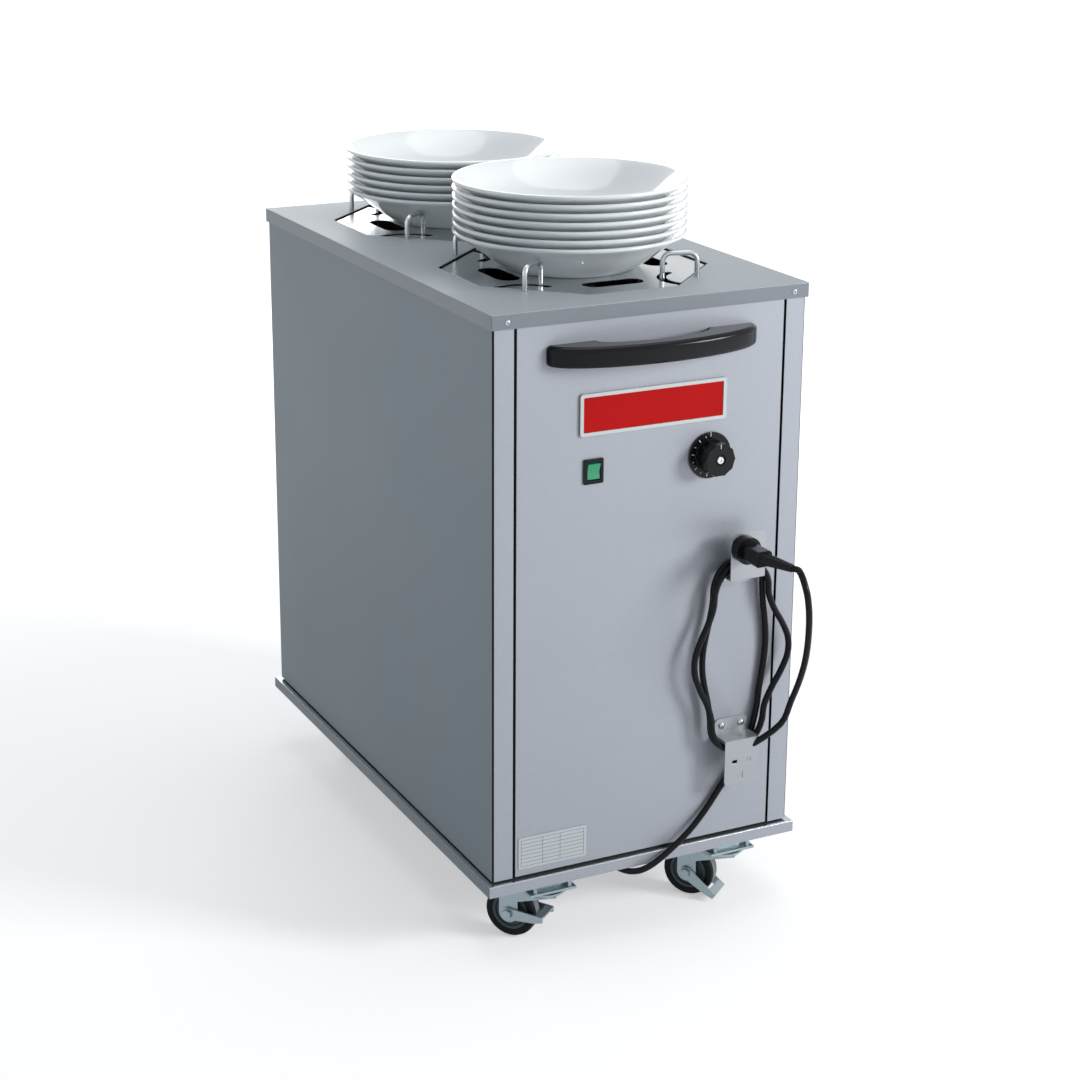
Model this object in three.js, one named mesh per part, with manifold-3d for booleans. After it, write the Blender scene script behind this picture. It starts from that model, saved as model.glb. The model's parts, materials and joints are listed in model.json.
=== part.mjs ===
// A heated, mobile plate dispenser with two spring-lifted plate stacks.
//
// Millimetres, +Z up, +X to the right as seen from the push handle, +Y towards the rear.
// Heights are counted from the floor. Everything is laid out about the middle of the top
// cover, and the finished group is then centred on its own length.

import * as THREE from 'three';
import { mergeVertices } from 'three/addons/utils/BufferGeometryUtils.js';
import Module from 'manifold-3d';

const wasm = await Module();
wasm.setup();

// ---------------------------------------------------------------- driving dimensions

const touchGap = 0.3;            // between pieces that rest on each other
const runningGap = 0.6;          // between pieces that slide or turn in each other

// Base tray
const baseWidth = 480;
const baseDepth = 830;
const baseTop = 115.4;
const baseLip = 16.5;
const baseSheet = 2;

// Casing
const bodyWidth = 463.5;
const bodyDepth = 814;
const casingSheet = 1.5;
const bendRadius = 3;
const shadowGap = 2.5;           // dark line between the base and the panels
const returnWidth = 30;          // side panel turned round the front and the rear
const seamGap = 1.8;             // upright seam beside the front and rear panels
const panelFlange = 12;          // stiffening flange of the front and rear panels
const panelFootInset = 6;        // foot that carries a panel, set back behind the shadow gap

// Top cover
const coverWidth = 470;
const coverDepth = 819;
const coverTop = 900;
const coverSkirt = 20;

// Wells and lift platforms
const wellCentres = { front: -179, rear: 208 };
const wellApothem = 175;         // half the opening across its long sides
const wellHalfSide = 66;         // half of a long side of the octagon
const platformGap = 4;
const platformDrop = 2;          // platform surface below the top cover
const platformRim = 10;          // turned-down edge of the platform
const windowLength = 90;
const windowWidth = 34;
const windowOffset = 114;        // from the well's centre to the middle of a window
const liftTravel = 440;

// Plate guides: inverted U rods that swing about their outer leg
const guideRod = 7;
const guideHeight = 36;          // above the top cover
const guideSpacing = 48;         // between the two legs
const guideBend = 12;
const guidePivotRadius = 178;    // pivot leg from the well's centre
const guidePivotAngle = 41.6;    // degrees round the well from each corner's X axis
const guideSlotWidth = 13;
const guideSlotEnd = -16;        // degrees from the inward line where the arc slot ends
const guideBossHeight = 12;
const guideCorners = [           // quarter turn of each corner, and its swing as stored
  { name: 'front_left', turn: 180, swing: -4 },
  { name: 'front_right', turn: 270, swing: 32 },
  { name: 'rear_right', turn: 0, swing: 60 },
  { name: 'rear_left', turn: 90, swing: 60 },
];

// Lift mechanism of one well
const columnInset = 22;          // column centre from the inside of the side panel
const columnSize = 16;
const sillWidth = 24;
const sillThickness = 4;
const bracketThickness = 4;
const sleeveHeight = 60;
const sleeveWall = 4.4;
const sleeveDrop = 50;           // sleeve top below the platform
const crossbarWidth = 36;
const crossbarThickness = 6;
const pedestalRadius = 30;
const hangerThickness = 3;
const hangerLength = 190;
const springOffset = 30;         // spring axis behind the column's axis
const springRadius = 7;
const springWire = 2.2;
const springCurls = 6;

// Heating element of one well
const heaterRod = 8;
const heaterWidth = 208;
const heaterDepth = 140;
const heaterHeight = 22;         // above the base tray
const heaterBend = 20;

// Push handle
const handleLength = 310;
const handleCentre = -1.5;
const handleReach = 50;
const handleThickness = 22;
const handleFoot = 68;
const handleHeight = 28;
const handleTopDrop = 47;        // below the top cover
const handleRound = 7;

// Badge and rating plate
const badgeWidth = 219;
const badgeHeight = 57;
const badgeCentre = 1.5;
const badgeDrop = 116.5;
const badgeThickness = 3;
const badgeFrame = 5;
const badgeRecess = 1;
const ratingWidth = 103;
const ratingHeight = 46;
const ratingCentre = -142;
const ratingRise = 11;           // above the lower edge of the side panels
const ratingThickness = 0.8;

// Rocker switch
const switchWidth = 29;
const switchHeight = 34;
const switchCentre = -87;
const switchDrop = 222;
const switchFlange = 2.5;
const switchBorder = 3;
const switchDepth = 18;
const rockerWall = 2;
const rockerTilt = 6;

// Thermostat
const dialCentre = 88;
const dialDrop = 222;
const dialRadius = 32;
const dialThickness = 3;
const gripRadius = 23;
const gripHeight = 27;
const gripFlutes = 10;
const fluteDepth = 1.6;
const shaftRadius = 3;
const thermostatRadius = 18;
const thermostatDepth = 26;

// Cord hooks
const hookWidth = 54;
const hookCentre = 135;
const hookSheet = 1.5;
const hookReach = 32;
const hookPlate = 66;
const upperHookFoot = 18;
const lowerHookFoot = 23;
const hookCorner = 8;
const upperHookDrop = 393;       // arm below the top cover
const lowerHookDrop = 631;
const plugSlots = [              // from the hook's middle and arm: x, depth, width, height
  [-11, 30.5, 8, 5],
  [11, 30.5, 8, 5],
  [0, 52, 5, 10],
];

// Cord and plug
const cordDiameter = 9;
const woundTurns = 2;
const woundInnerRadius = 38;
const woundOuterRadius = 46;
const woundBulge = 6;            // of the first side
const woundRightGrowth = 56;     // of the bulge over the whole winding, on each side
const woundLeftGrowth = 29;
const woundStartTurn = 0.02;
const plugRadius = 19;
const plugBase = 16;
const plugGripWidth = 26;
const plugGripHeight = 22;
const plugGripLength = 36;
const plugRise = 44;             // plug axis above the upper hook's arm
const plugOffset = -9;           // plug axis from the hooks' centre line
const reliefLength = 50;
const reliefRadius = 9.5;
const pinLength = 17;
const pinRadius = 2.2;
const pinSlots = [0, 2];         // plug slots that the parked plug's pins stand in
const glandRadius = 9;
const glandLength = 26;

// Casters
const casterSideInset = 98;      // swivel axes from the edges of the base
const casterFrontInset = 35;
const casterRearInset = 63;
const wheelRadius = 37.5;
const wheelWidth = 25;
const wheelCoreRadius = 27;
const axleRadius = 4;
const casterTrail = 45;
const casterPlateWidth = 70;
const casterPlateDepth = 66;
const casterPlateThickness = 3.5;
const boltRadius = 3.5;
const boltSpacingX = 52;
const boltSpacingY = 56;
const spacerWidth = 40;
const spacerDepth = 44;
const raceRadius = 28;
const raceHeight = 4.2;
const crownRadius = 34;
const crownThickness = 3;
const crownRim = 2.4;            // upturned edge of the crown round the race
const crownRearMargin = 4;       // behind the wheel's axle
const crownFront = 27;           // from the swivel's axis to the web's front edge
const crownLap = 2;
const wheelHeadroom = 2.5;       // between the tyre and the fork's crown
const legThickness = 2.5;
const legClearance = 1.8;        // between the wheel and a fork leg
const legWidth = 28;
const legShoulder = 20;          // straight part of a leg above the axle
const stirrupThickness = 2.5;
const stirrupEye = 9;
const stirrupReach = 41;
const stirrupPlate = 12;
const casters = [                // trail heading in degrees; stirrup angle where there is a brake
  { name: 'front_left', side: -1, heading: 129, stirrup: 180 },
  { name: 'front_right', side: 1, heading: 129, stirrup: 215 },
  { name: 'rear_left', side: -1, heading: 266 },
  { name: 'rear_right', side: 1, heading: 206 },
];

// Plates
const plateRadius = 162.5;
const plateHeight = 53;
const platePitch = 11.8;
const plateFoot = 91;
const plateFootRing = 5;         // width of the foot ring
const plateFootHeight = 3.5;
const plateLip = 3.5;
const plateFloor = 9.5;
const plateFloorRadius = 84;
const plateShoulder = 22;        // from the rim in to where the bowl's side ends
const plateShoulderHeight = 35;
const plateNotch = 16;           // depth of the dark gap between two rims
const plateNotchDrop = 6;        // from a rim down to the gap's inner end
const plateNotchLean = 2;
const stackShift = 13;           // stack centre behind the well's centre
const plateCounts = { front: 7, rear: 6 };

// ---------------------------------------------------------------- derived levels

const panelBottom = baseTop + shadowGap;
const coverUnderside = coverTop - casingSheet;
const panelTop = coverUnderside - touchGap;
const frontFace = -bodyDepth / 2;
const platformTop = coverTop - platformDrop;
const platformUnderside = platformTop - casingSheet;
const trayUnderside = baseTop - baseSheet;
const innerHalfWidth = bodyWidth / 2 - casingSheet;
const columnOffset = innerHalfWidth - columnInset;
const casterX = baseWidth / 2 - casterSideInset;
const casterFrontY = -baseDepth / 2 + casterFrontInset;
const casterRearY = baseDepth / 2 - casterRearInset;

// ---------------------------------------------------------------- materials

const finish = (color, roughness, metalness) =>
  new THREE.MeshStandardMaterial({ color, roughness, metalness });

const finishes = {
  brushed: () => finish(0x9aa0a6, 0.38, 0.9),
  panel: () => finish(0xa6abb6, 0.42, 0.85),
  polished: () => finish(0xc4c7ca, 0.18, 1),
  zinc: () => finish(0x9fb0b4, 0.35, 0.9),
  springSteel: () => finish(0x8b8f92, 0.3, 1),
  blackPlastic: () => finish(0x0c0d10, 0.3, 0),
  blackRubber: () => finish(0x101114, 0.7, 0),
  greyPlastic: () => finish(0x7d868c, 0.5, 0),
  red: () => finish(0xb01217, 0.25, 0.1),
  green: () => finish(0x0d8f5c, 0.3, 0),
  label: () => finish(0xd4d8da, 0.45, 0.2),
  china: () => finish(0xeceff1, 0.12, 0),
  heater: () => finish(0x54504d, 0.5, 0.8),
};

// ---------------------------------------------------------------- shaping helpers

const radians = (degrees) => degrees * Math.PI / 180;

// A closed geometry as a solid that can be joined and cut.
function solid(geometry) {
  const bare = geometry.clone();
  bare.deleteAttribute('normal');
  bare.deleteAttribute('uv');
  const merged = mergeVertices(bare, 1e-4);
  return new wasm.Manifold(new wasm.Mesh({
    numProp: 3,
    vertProperties: new Float32Array(merged.attributes.position.array),
    triVerts: new Uint32Array(merged.index.array),
  }));
}

// A solid back as a geometry.
function geometryOf(body) {
  const mesh = body.getMesh();
  const geometry = new THREE.BufferGeometry();
  geometry.setAttribute('position', new THREE.BufferAttribute(mesh.vertProperties, mesh.numProp));
  geometry.setIndex(new THREE.BufferAttribute(mesh.triVerts, 1));
  geometry.computeVertexNormals();
  return geometry;
}

const join = (first, ...others) => others.reduce((body, other) => body.add(other), first);
const cut = (first, ...others) => others.reduce((body, other) => body.subtract(other), first);

// A block between two opposite corners.
function block(x0, x1, y0, y1, z0, z1) {
  const geometry = new THREE.BoxGeometry(x1 - x0, y1 - y0, z1 - z0);
  return solid(geometry.translate((x0 + x1) / 2, (y0 + y1) / 2, (z0 + z1) / 2));
}

// A block centred on x and y, standing on z0.
const post = (x, y, width, depth, z0, z1) =>
  block(x - width / 2, x + width / 2, y - depth / 2, y + depth / 2, z0, z1);

// A flat outline pushed up from z0 to z1.
function prism(shape, z0, z1, curveSegments = 6) {
  const geometry = new THREE.ExtrudeGeometry(shape, { depth: z1 - z0, bevelEnabled: false, curveSegments });
  return solid(geometry.translate(0, 0, z0));
}

// An outline drawn in (x, z), pushed back from the plane y0 to y1.
function plate(shape, y0, y1, curveSegments = 6) {
  const geometry = new THREE.ExtrudeGeometry(shape, { depth: y1 - y0, bevelEnabled: false, curveSegments });
  return solid(geometry.rotateX(Math.PI / 2).translate(0, y1, 0));
}

// An outline drawn in (y, z), pushed along x from x0 to x1.
function profile(shape, x0, x1, curveSegments = 6) {
  const geometry = new THREE.ExtrudeGeometry(shape, { depth: x1 - x0, bevelEnabled: false, curveSegments });
  return solid(geometry.rotateX(Math.PI / 2).rotateZ(Math.PI / 2).translate(x0, 0, 0));
}

// A round bar along z.
function barZ(x, y, radius, z0, z1, sides = 20) {
  const geometry = new THREE.CylinderGeometry(radius, radius, z1 - z0, sides);
  return solid(geometry.rotateX(Math.PI / 2).translate(x, y, (z0 + z1) / 2));
}

// A round bar along y.
function barY(x, z, radius, y0, y1, sides = 20) {
  const geometry = new THREE.CylinderGeometry(radius, radius, y1 - y0, sides);
  return solid(geometry.translate(x, (y0 + y1) / 2, z));
}

// A profile of [radius, height] points turned about the z axis.
function turned(points, segments) {
  const outline = points.map(([r, z]) => new THREE.Vector2(r, z));
  return solid(new THREE.LatheGeometry(outline, segments).rotateX(Math.PI / 2));
}

function roundedRectangle(x0, x1, y0, y1, radius) {
  const shape = new THREE.Shape();
  shape.moveTo(x0 + radius, y0);
  shape.lineTo(x1 - radius, y0);
  shape.absarc(x1 - radius, y0 + radius, radius, -Math.PI / 2, 0);
  shape.lineTo(x1, y1 - radius);
  shape.absarc(x1 - radius, y1 - radius, radius, 0, Math.PI / 2);
  shape.lineTo(x0 + radius, y1);
  shape.absarc(x0 + radius, y1 - radius, radius, Math.PI / 2, Math.PI);
  shape.lineTo(x0, y0 + radius);
  shape.absarc(x0 + radius, y0 + radius, radius, Math.PI, Math.PI * 1.5);
  return shape;
}

function circle(x, y, radius, Kind = THREE.Shape) {
  const shape = new Kind();
  shape.absarc(x, y, radius, 0, Math.PI * 2);
  return shape;
}

function polygon(points, Kind = THREE.Shape) {
  return new Kind(points.map(([x, y]) => new THREE.Vector2(x, y)));
}

function octagonPoints(apothem, halfSide, x = 0, y = 0) {
  const corners = [];
  for (let side = 0; side < 4; side += 1) {
    const turn = side * Math.PI / 2;
    for (const along of [-halfSide, halfSide]) {
      corners.push([
        x + apothem * Math.cos(turn) - along * Math.sin(turn),
        y + apothem * Math.sin(turn) + along * Math.cos(turn),
      ]);
    }
  }
  return corners;
}

// A path that puts one ring of a swept tube at each of its own points.
class RingPath extends THREE.Curve {
  constructor(points) {
    super();
    this.points = points;
  }

  getPoint(t, target = new THREE.Vector3()) {
    const place = Math.min(Math.max(t, 0), 1) * (this.points.length - 1);
    const index = Math.min(Math.floor(place), this.points.length - 2);
    return target.lerpVectors(this.points[index], this.points[index + 1], place - index);
  }

  getUtoTmapping(u) {
    return u;
  }
}

function tubeSection(radius, sides) {
  const corners = [];
  for (let side = 0; side < sides; side += 1) {
    const turn = 2 * Math.PI * side / sides;
    corners.push(new THREE.Vector2(radius * Math.cos(turn), radius * Math.sin(turn)));
  }
  return new THREE.Shape(corners);
}

function sweep(path, steps, radius, sides) {
  return new THREE.ExtrudeGeometry(tubeSection(radius, sides), {
    steps,
    extrudePath: path,
    bevelEnabled: false,
  });
}

const ringTube = (points, radius, sides) =>
  sweep(new RingPath(points), points.length - 1, radius, sides);

// A polyline whose inner corners are rounded, as points for a ring path.
function roundedPath(corners, radius, steps) {
  const points = [corners[0]];
  for (let i = 1; i < corners.length - 1; i += 1) {
    const before = corners[i - 1].clone().sub(corners[i]).normalize();
    const after = corners[i + 1].clone().sub(corners[i]).normalize();
    const half = before.angleTo(after) / 2;
    const middle = before.clone().add(after).normalize();
    const centre = corners[i].clone().addScaledVector(middle, radius / Math.sin(half));
    const start = corners[i].clone().addScaledVector(before, radius / Math.tan(half)).sub(centre);
    const end = corners[i].clone().addScaledVector(after, radius / Math.tan(half)).sub(centre);
    const sweepAngle = start.angleTo(end);
    for (let step = 0; step <= steps; step += 1) {
      const share = step / steps;
      const bend = start.clone().multiplyScalar(Math.sin((1 - share) * sweepAngle))
        .addScaledVector(end, Math.sin(share * sweepAngle))
        .divideScalar(Math.sin(sweepAngle));
      points.push(centre.clone().add(bend));
    }
  }
  points.push(corners[corners.length - 1]);
  return points;
}

// ---------------------------------------------------------------- assembly

const cart = new THREE.Group();

function addPiece(name, shape, material, parent = cart) {
  const geometry = shape.isBufferGeometry ? shape : geometryOf(shape);
  const mesh = new THREE.Mesh(geometry, material());
  mesh.name = name;
  parent.add(mesh);
  return mesh;
}

function placedGroup(x, y, z, heading = 0) {
  const group = new THREE.Group();
  group.position.set(x, y, z);
  group.rotation.z = radians(heading);
  cart.add(group);
  return group;
}

const wells = Object.entries(wellCentres).map(([name, y]) => ({ name, y }));

// Pivot leg of each guide, from the well's centre, and the heading of its inward line.
const guides = guideCorners.map(({ name, turn, swing }) => {
  const bearing = radians(turn + guidePivotAngle);
  return {
    name,
    x: guidePivotRadius * Math.cos(bearing),
    y: guidePivotRadius * Math.sin(bearing),
    inward: turn + guidePivotAngle + 180,
    swing,
  };
});

// ---------------------------------------------------------------- casing

function baseTray() {
  let tray = block(-baseWidth / 2, baseWidth / 2, -baseDepth / 2, baseDepth / 2, baseTop - baseLip, baseTop);
  tray = cut(tray, block(
    -baseWidth / 2 + baseSheet, baseWidth / 2 - baseSheet,
    -baseDepth / 2 + baseSheet, baseDepth / 2 - baseSheet,
    baseTop - baseLip - 1, trayUnderside,
  ));
  for (const well of wells) {
    for (const guide of guides) {
      const bore = guideRod / 2 + runningGap;
      const boss = barZ(guide.x, well.y + guide.y, bore + 3, baseTop - 1, baseTop + guideBossHeight, 8);
      const seat = barZ(guide.x, well.y + guide.y, bore, baseTop, baseTop + guideBossHeight + 1, 8);
      tray = cut(join(tray, boss), seat);
    }
  }
  return tray;
}

// A sheet bent to a channel in plan: a web along y with a return at each end.
function channelOutline(halfLength, returnLength) {
  const outer = new THREE.Shape();
  outer.moveTo(returnLength, -halfLength);
  outer.lineTo(bendRadius, -halfLength);
  outer.absarc(bendRadius, -halfLength + bendRadius, bendRadius, -Math.PI / 2, -Math.PI, true);
  outer.lineTo(0, halfLength - bendRadius);
  outer.absarc(bendRadius, halfLength - bendRadius, bendRadius, Math.PI, Math.PI / 2, true);
  outer.lineTo(returnLength, halfLength);
  outer.lineTo(returnLength, halfLength - casingSheet);
  outer.lineTo(bendRadius, halfLength - casingSheet);
  const inside = bendRadius - casingSheet;
  outer.absarc(bendRadius, halfLength - bendRadius, inside, Math.PI / 2, Math.PI, false);
  outer.lineTo(casingSheet, -halfLength + bendRadius);
  outer.absarc(bendRadius, -halfLength + bendRadius, inside, Math.PI, Math.PI * 1.5, false);
  outer.lineTo(returnLength, -halfLength + casingSheet);
  return outer;
}

const panelHalfWidth = bodyWidth / 2 - returnWidth - seamGap;

// A panel stands on the tray with a foot along its lower edge, set back out of sight.
function channelPanel(halfLength, returnLength, bottom) {
  const footEnd = halfLength - bendRadius;
  return join(
    prism(channelOutline(halfLength, returnLength), bottom, panelTop, 3),
    block(casingSheet / 2, panelFootInset + casingSheet, -footEnd, footEnd, bottom, bottom + casingSheet),
    block(panelFootInset, panelFootInset + casingSheet, -footEnd, footEnd,
      baseTop + touchGap, bottom + casingSheet),
  );
}

function sidePanel(side) {
  const panel = channelPanel(bodyDepth / 2, returnWidth, panelBottom).translate([-bodyWidth / 2, 0, 0]);
  return side < 0 ? panel : panel.rotate([0, 0, 180]);
}

// A flat panel with a stiffening flange down each side, its face on y = 0.
function flatPanel(bottom) {
  return channelPanel(panelHalfWidth, panelFlange, bottom).rotate([0, 0, 90]);
}

const panelRise = 1;             // bottom edge of the front panel above the side panels'

function frontPanel() {
  const panel = flatPanel(panelBottom + panelRise).translate([0, frontFace, 0]);
  const switchHole = block(
    switchCentre - switchWidth / 2 + switchBorder - touchGap,
    switchCentre + switchWidth / 2 - switchBorder + touchGap,
    frontFace - 5, frontFace + 5,
    coverTop - switchDrop - switchHeight / 2 + switchBorder - touchGap,
    coverTop - switchDrop + switchHeight / 2 - switchBorder + touchGap,
  );
  const shaftHole = barY(
    dialCentre, coverTop - dialDrop, shaftRadius + runningGap, frontFace - 5, frontFace + 5, 16,
  );
  return cut(panel, switchHole, shaftHole);
}

function rearPanel() {
  return flatPanel(panelBottom + panelRise).rotate([0, 0, 180]).translate([0, -frontFace, 0]);
}

function topCover() {
  const outline = roundedRectangle(-coverWidth / 2, coverWidth / 2, -coverDepth / 2, coverDepth / 2, 1.5);
  const inner = roundedRectangle(
    -coverWidth / 2 + casingSheet, coverWidth / 2 - casingSheet,
    -coverDepth / 2 + casingSheet, coverDepth / 2 - casingSheet, 0.5,
  );
  let cover = cut(
    prism(outline, coverTop - coverSkirt, coverTop, 2),
    prism(inner, coverTop - coverSkirt - 1, coverUnderside, 2),
  );
  for (const well of wells) {
    const opening = polygon(octagonPoints(wellApothem, wellHalfSide, 0, well.y));
    cover = cut(cover, prism(opening, coverUnderside - 1, coverTop + 1));
    for (const guide of guides) {
      cover = cut(cover, barZ(
        guide.x, well.y + guide.y, guideRod / 2 + runningGap, coverUnderside - 1, coverTop + 1, 8,
      ));
    }
  }
  return cover;
}

addPiece('base_tray', baseTray(), finishes.brushed);
addPiece('left_side_panel', sidePanel(-1), finishes.panel);
addPiece('right_side_panel', sidePanel(1), finishes.panel);
addPiece('rear_panel', rearPanel(), finishes.panel);
addPiece('front_panel', frontPanel(), finishes.panel);
addPiece('top_cover', topCover(), finishes.polished);

// ---------------------------------------------------------------- front fittings

const fittingFace = frontFace - touchGap;

// A bowed grip: half an ellipse outside, a flatter one for the fingers.
function pushHandle() {
  const half = handleLength / 2 - handleRound;
  const fingers = half - handleFoot + handleRound;
  const outline = new THREE.Shape();
  outline.moveTo(half, 0);
  outline.absellipse(0, 0, half, handleReach - handleRound, 0, Math.PI, false);
  outline.lineTo(-fingers, 0);
  outline.absellipse(0, 0, fingers, handleReach - handleThickness, Math.PI, 0, true);
  const geometry = new THREE.ExtrudeGeometry(outline, {
    depth: handleHeight - 2 * handleRound,
    bevelThickness: handleRound,
    bevelSize: handleRound,
    bevelOffset: 0,
    bevelSegments: 2,
    curveSegments: 8,
  });
  geometry.rotateZ(Math.PI).translate(handleCentre, 0, coverTop - handleTopDrop - handleHeight + handleRound);
  const behind = block(-handleLength, handleLength, 0, handleReach, 0, coverTop);
  return cut(solid(geometry), behind).translate([0, fittingFace, 0]);
}

function badge() {
  const top = coverTop - badgeDrop;
  const left = badgeCentre - badgeWidth / 2;
  const right = badgeCentre + badgeWidth / 2;
  const front = fittingFace - badgeThickness;
  const body = plate(roundedRectangle(left, right, top - badgeHeight, top, 4), front, fittingFace, 3);
  const recess = roundedRectangle(
    left + badgeFrame, right - badgeFrame, top - badgeHeight + badgeFrame, top - badgeFrame, 1.5,
  );
  return cut(body, plate(recess, front - 1, front + badgeRecess, 3));
}

function ratingPlate() {
  const bottom = panelBottom + ratingRise;
  const outline = roundedRectangle(
    ratingCentre - ratingWidth / 2, ratingCentre + ratingWidth / 2, bottom, bottom + ratingHeight, 2,
  );
  return plate(outline, fittingFace - ratingThickness, fittingFace, 2);
}

const switchBore = {
  halfWidth: switchWidth / 2 - switchBorder - rockerWall,
  halfHeight: switchHeight / 2 - switchBorder - rockerWall,
};

function switchBezel() {
  const z = coverTop - switchDrop;
  const flange = plate(
    roundedRectangle(-switchWidth / 2, switchWidth / 2, -switchHeight / 2, switchHeight / 2, 2),
    fittingFace - switchFlange, fittingFace, 2,
  );
  const bodyHalfWidth = switchWidth / 2 - switchBorder;
  const bodyHalfHeight = switchHeight / 2 - switchBorder;
  const housing = block(
    -bodyHalfWidth, bodyHalfWidth, fittingFace - 1, fittingFace + switchDepth, -bodyHalfHeight, bodyHalfHeight,
  );
  const bore = block(
    -switchBore.halfWidth, switchBore.halfWidth, fittingFace - switchFlange - 1,
    fittingFace + switchDepth - 3, -switchBore.halfHeight, switchBore.halfHeight,
  );
  return cut(join(flange, housing), bore).translate([switchCentre, 0, z]);
}

// The rocker turns about a line behind its face; its face is two shallow slopes.
function switchRocker() {
  const halfHeight = switchBore.halfHeight - 1.2;
  const outline = new THREE.Shape();
  outline.moveTo(-3, -halfHeight);
  outline.lineTo(-1, 0);
  outline.lineTo(-3, halfHeight);
  outline.lineTo(3, halfHeight);
  outline.absarc(3, 0, halfHeight * 0.6, Math.PI / 2, -Math.PI / 2, true);
  outline.lineTo(3, -halfHeight);
  const halfWidth = switchBore.halfWidth - touchGap;
  return profile(outline, -halfWidth, halfWidth, 8)
    .rotate([rockerTilt, 0, 0])
    .translate([switchCentre, fittingFace, coverTop - switchDrop]);
}

function thermostatBody() {
  const back = frontFace + casingSheet + touchGap;
  const housing = barY(0, 0, thermostatRadius, back, back + thermostatDepth, 24);
  const shaft = barY(0, 0, shaftRadius, fittingFace - dialThickness - gripHeight / 2, back + 1, 12);
  return join(housing, shaft).translate([dialCentre, 0, coverTop - dialDrop]);
}

function thermostatKnob() {
  const outline = new THREE.Shape();
  const steps = gripFlutes * 3;
  for (let step = 0; step < steps; step += 1) {
    const turn = 2 * Math.PI * step / steps;
    const radius = gripRadius - fluteDepth * (1 - Math.cos(gripFlutes * turn)) / 2;
    const corner = [radius * Math.cos(turn), radius * Math.sin(turn)];
    if (step === 0) outline.moveTo(...corner);
    else outline.lineTo(...corner);
  }
  const back = fittingFace - touchGap;
  const skirt = barY(0, 0, dialRadius, back - dialThickness, back, 32);
  const grip = plate(outline, back - dialThickness - gripHeight, back - 1);
  const dish = barY(0, 0, gripRadius / 3, back - dialThickness - gripHeight - 1,
    back - dialThickness - gripHeight + 2, 20);
  const bore = barY(0, 0, shaftRadius + touchGap, fittingFace - dialThickness - gripHeight / 2 - touchGap,
    back + 1, 12);
  return cut(join(skirt, grip), dish, bore).translate([dialCentre, 0, coverTop - dialDrop]);
}

addPiece('push_handle', pushHandle(), finishes.blackPlastic);
addPiece('badge_plate', badge(), finishes.red);
addPiece('rating_plate', ratingPlate(), finishes.label);
addPiece('switch_bezel', switchBezel(), finishes.blackPlastic);
addPiece('switch_rocker', switchRocker(), finishes.green);
addPiece('thermostat_body', thermostatBody(), finishes.zinc);
addPiece('thermostat_knob', thermostatKnob(), finishes.blackPlastic);

// ---------------------------------------------------------------- cord hooks

const hookFront = fittingFace - hookReach;
const upperArm = coverTop - upperHookDrop;   // top side of the upper hook's arm
const lowerArm = coverTop - lowerHookDrop;   // underside of the lower hook's arm

// One bent strip. Its arm lies on z = 0 with the plate above and the foot below.
function hookStrip(footLength) {
  const half = hookWidth / 2;
  const foot = plate(
    roundedRectangle(-half, half, -footLength, hookCorner, hookCorner), -hookSheet, 0, 4,
  );
  const footTrim = block(-half - 1, half + 1, -hookSheet - 1, 1, 0, hookCorner + 1);
  const arm = block(-half, half, -hookReach, 0, -hookSheet, 0);
  const front = plate(
    roundedRectangle(-half, half, -hookCorner * 2, hookPlate, hookCorner), -hookReach, -hookReach + hookSheet, 4,
  );
  const frontTrim = block(-half - 1, half + 1, -hookReach - 1, 0, -hookCorner * 3, -hookSheet);
  const slots = plugSlots.map(([x, depth, width, height]) => block(
    x - width / 2, x + width / 2, -hookReach - 1, -hookReach + hookSheet + 1,
    depth - height / 2, depth + height / 2,
  ));
  return cut(join(cut(foot, footTrim), arm, cut(front, frontTrim)), ...slots);
}

addPiece('upper_cord_hook', hookStrip(upperHookFoot).translate([hookCentre, fittingFace, upperArm]),
  finishes.polished);
addPiece('lower_cord_hook',
  hookStrip(lowerHookFoot).rotate([0, 180, 0]).translate([hookCentre, fittingFace, lowerArm]),
  finishes.polished);

// ---------------------------------------------------------------- lift mechanism

const sillTop = baseTop + touchGap + sillThickness;
const bracketTop = coverUnderside - coverSkirt / 2;
const bracketBottom = bracketTop - bracketThickness;
const sleeveTop = platformUnderside - sleeveDrop;
const sleeveBottom = sleeveTop - sleeveHeight;
const hangerBottom = sleeveBottom - hangerLength;

function liftFrame() {
  const reach = columnOffset + columnSize / 2 + 4;
  let frame = block(-reach, reach, -sillWidth / 2, sillWidth / 2, baseTop + touchGap, sillTop);
  for (const side of [-1, 1]) {
    frame = join(
      frame,
      post(side * columnOffset, 0, columnSize, columnSize, sillTop - 1, bracketTop),
      block(
        side * columnOffset - columnSize / 2 - 2, side * columnOffset + columnSize / 2 + 2,
        -columnSize / 2 - 2, springOffset + springRadius + 2, bracketBottom, bracketTop,
      ),
    );
  }
  return frame;
}

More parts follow.
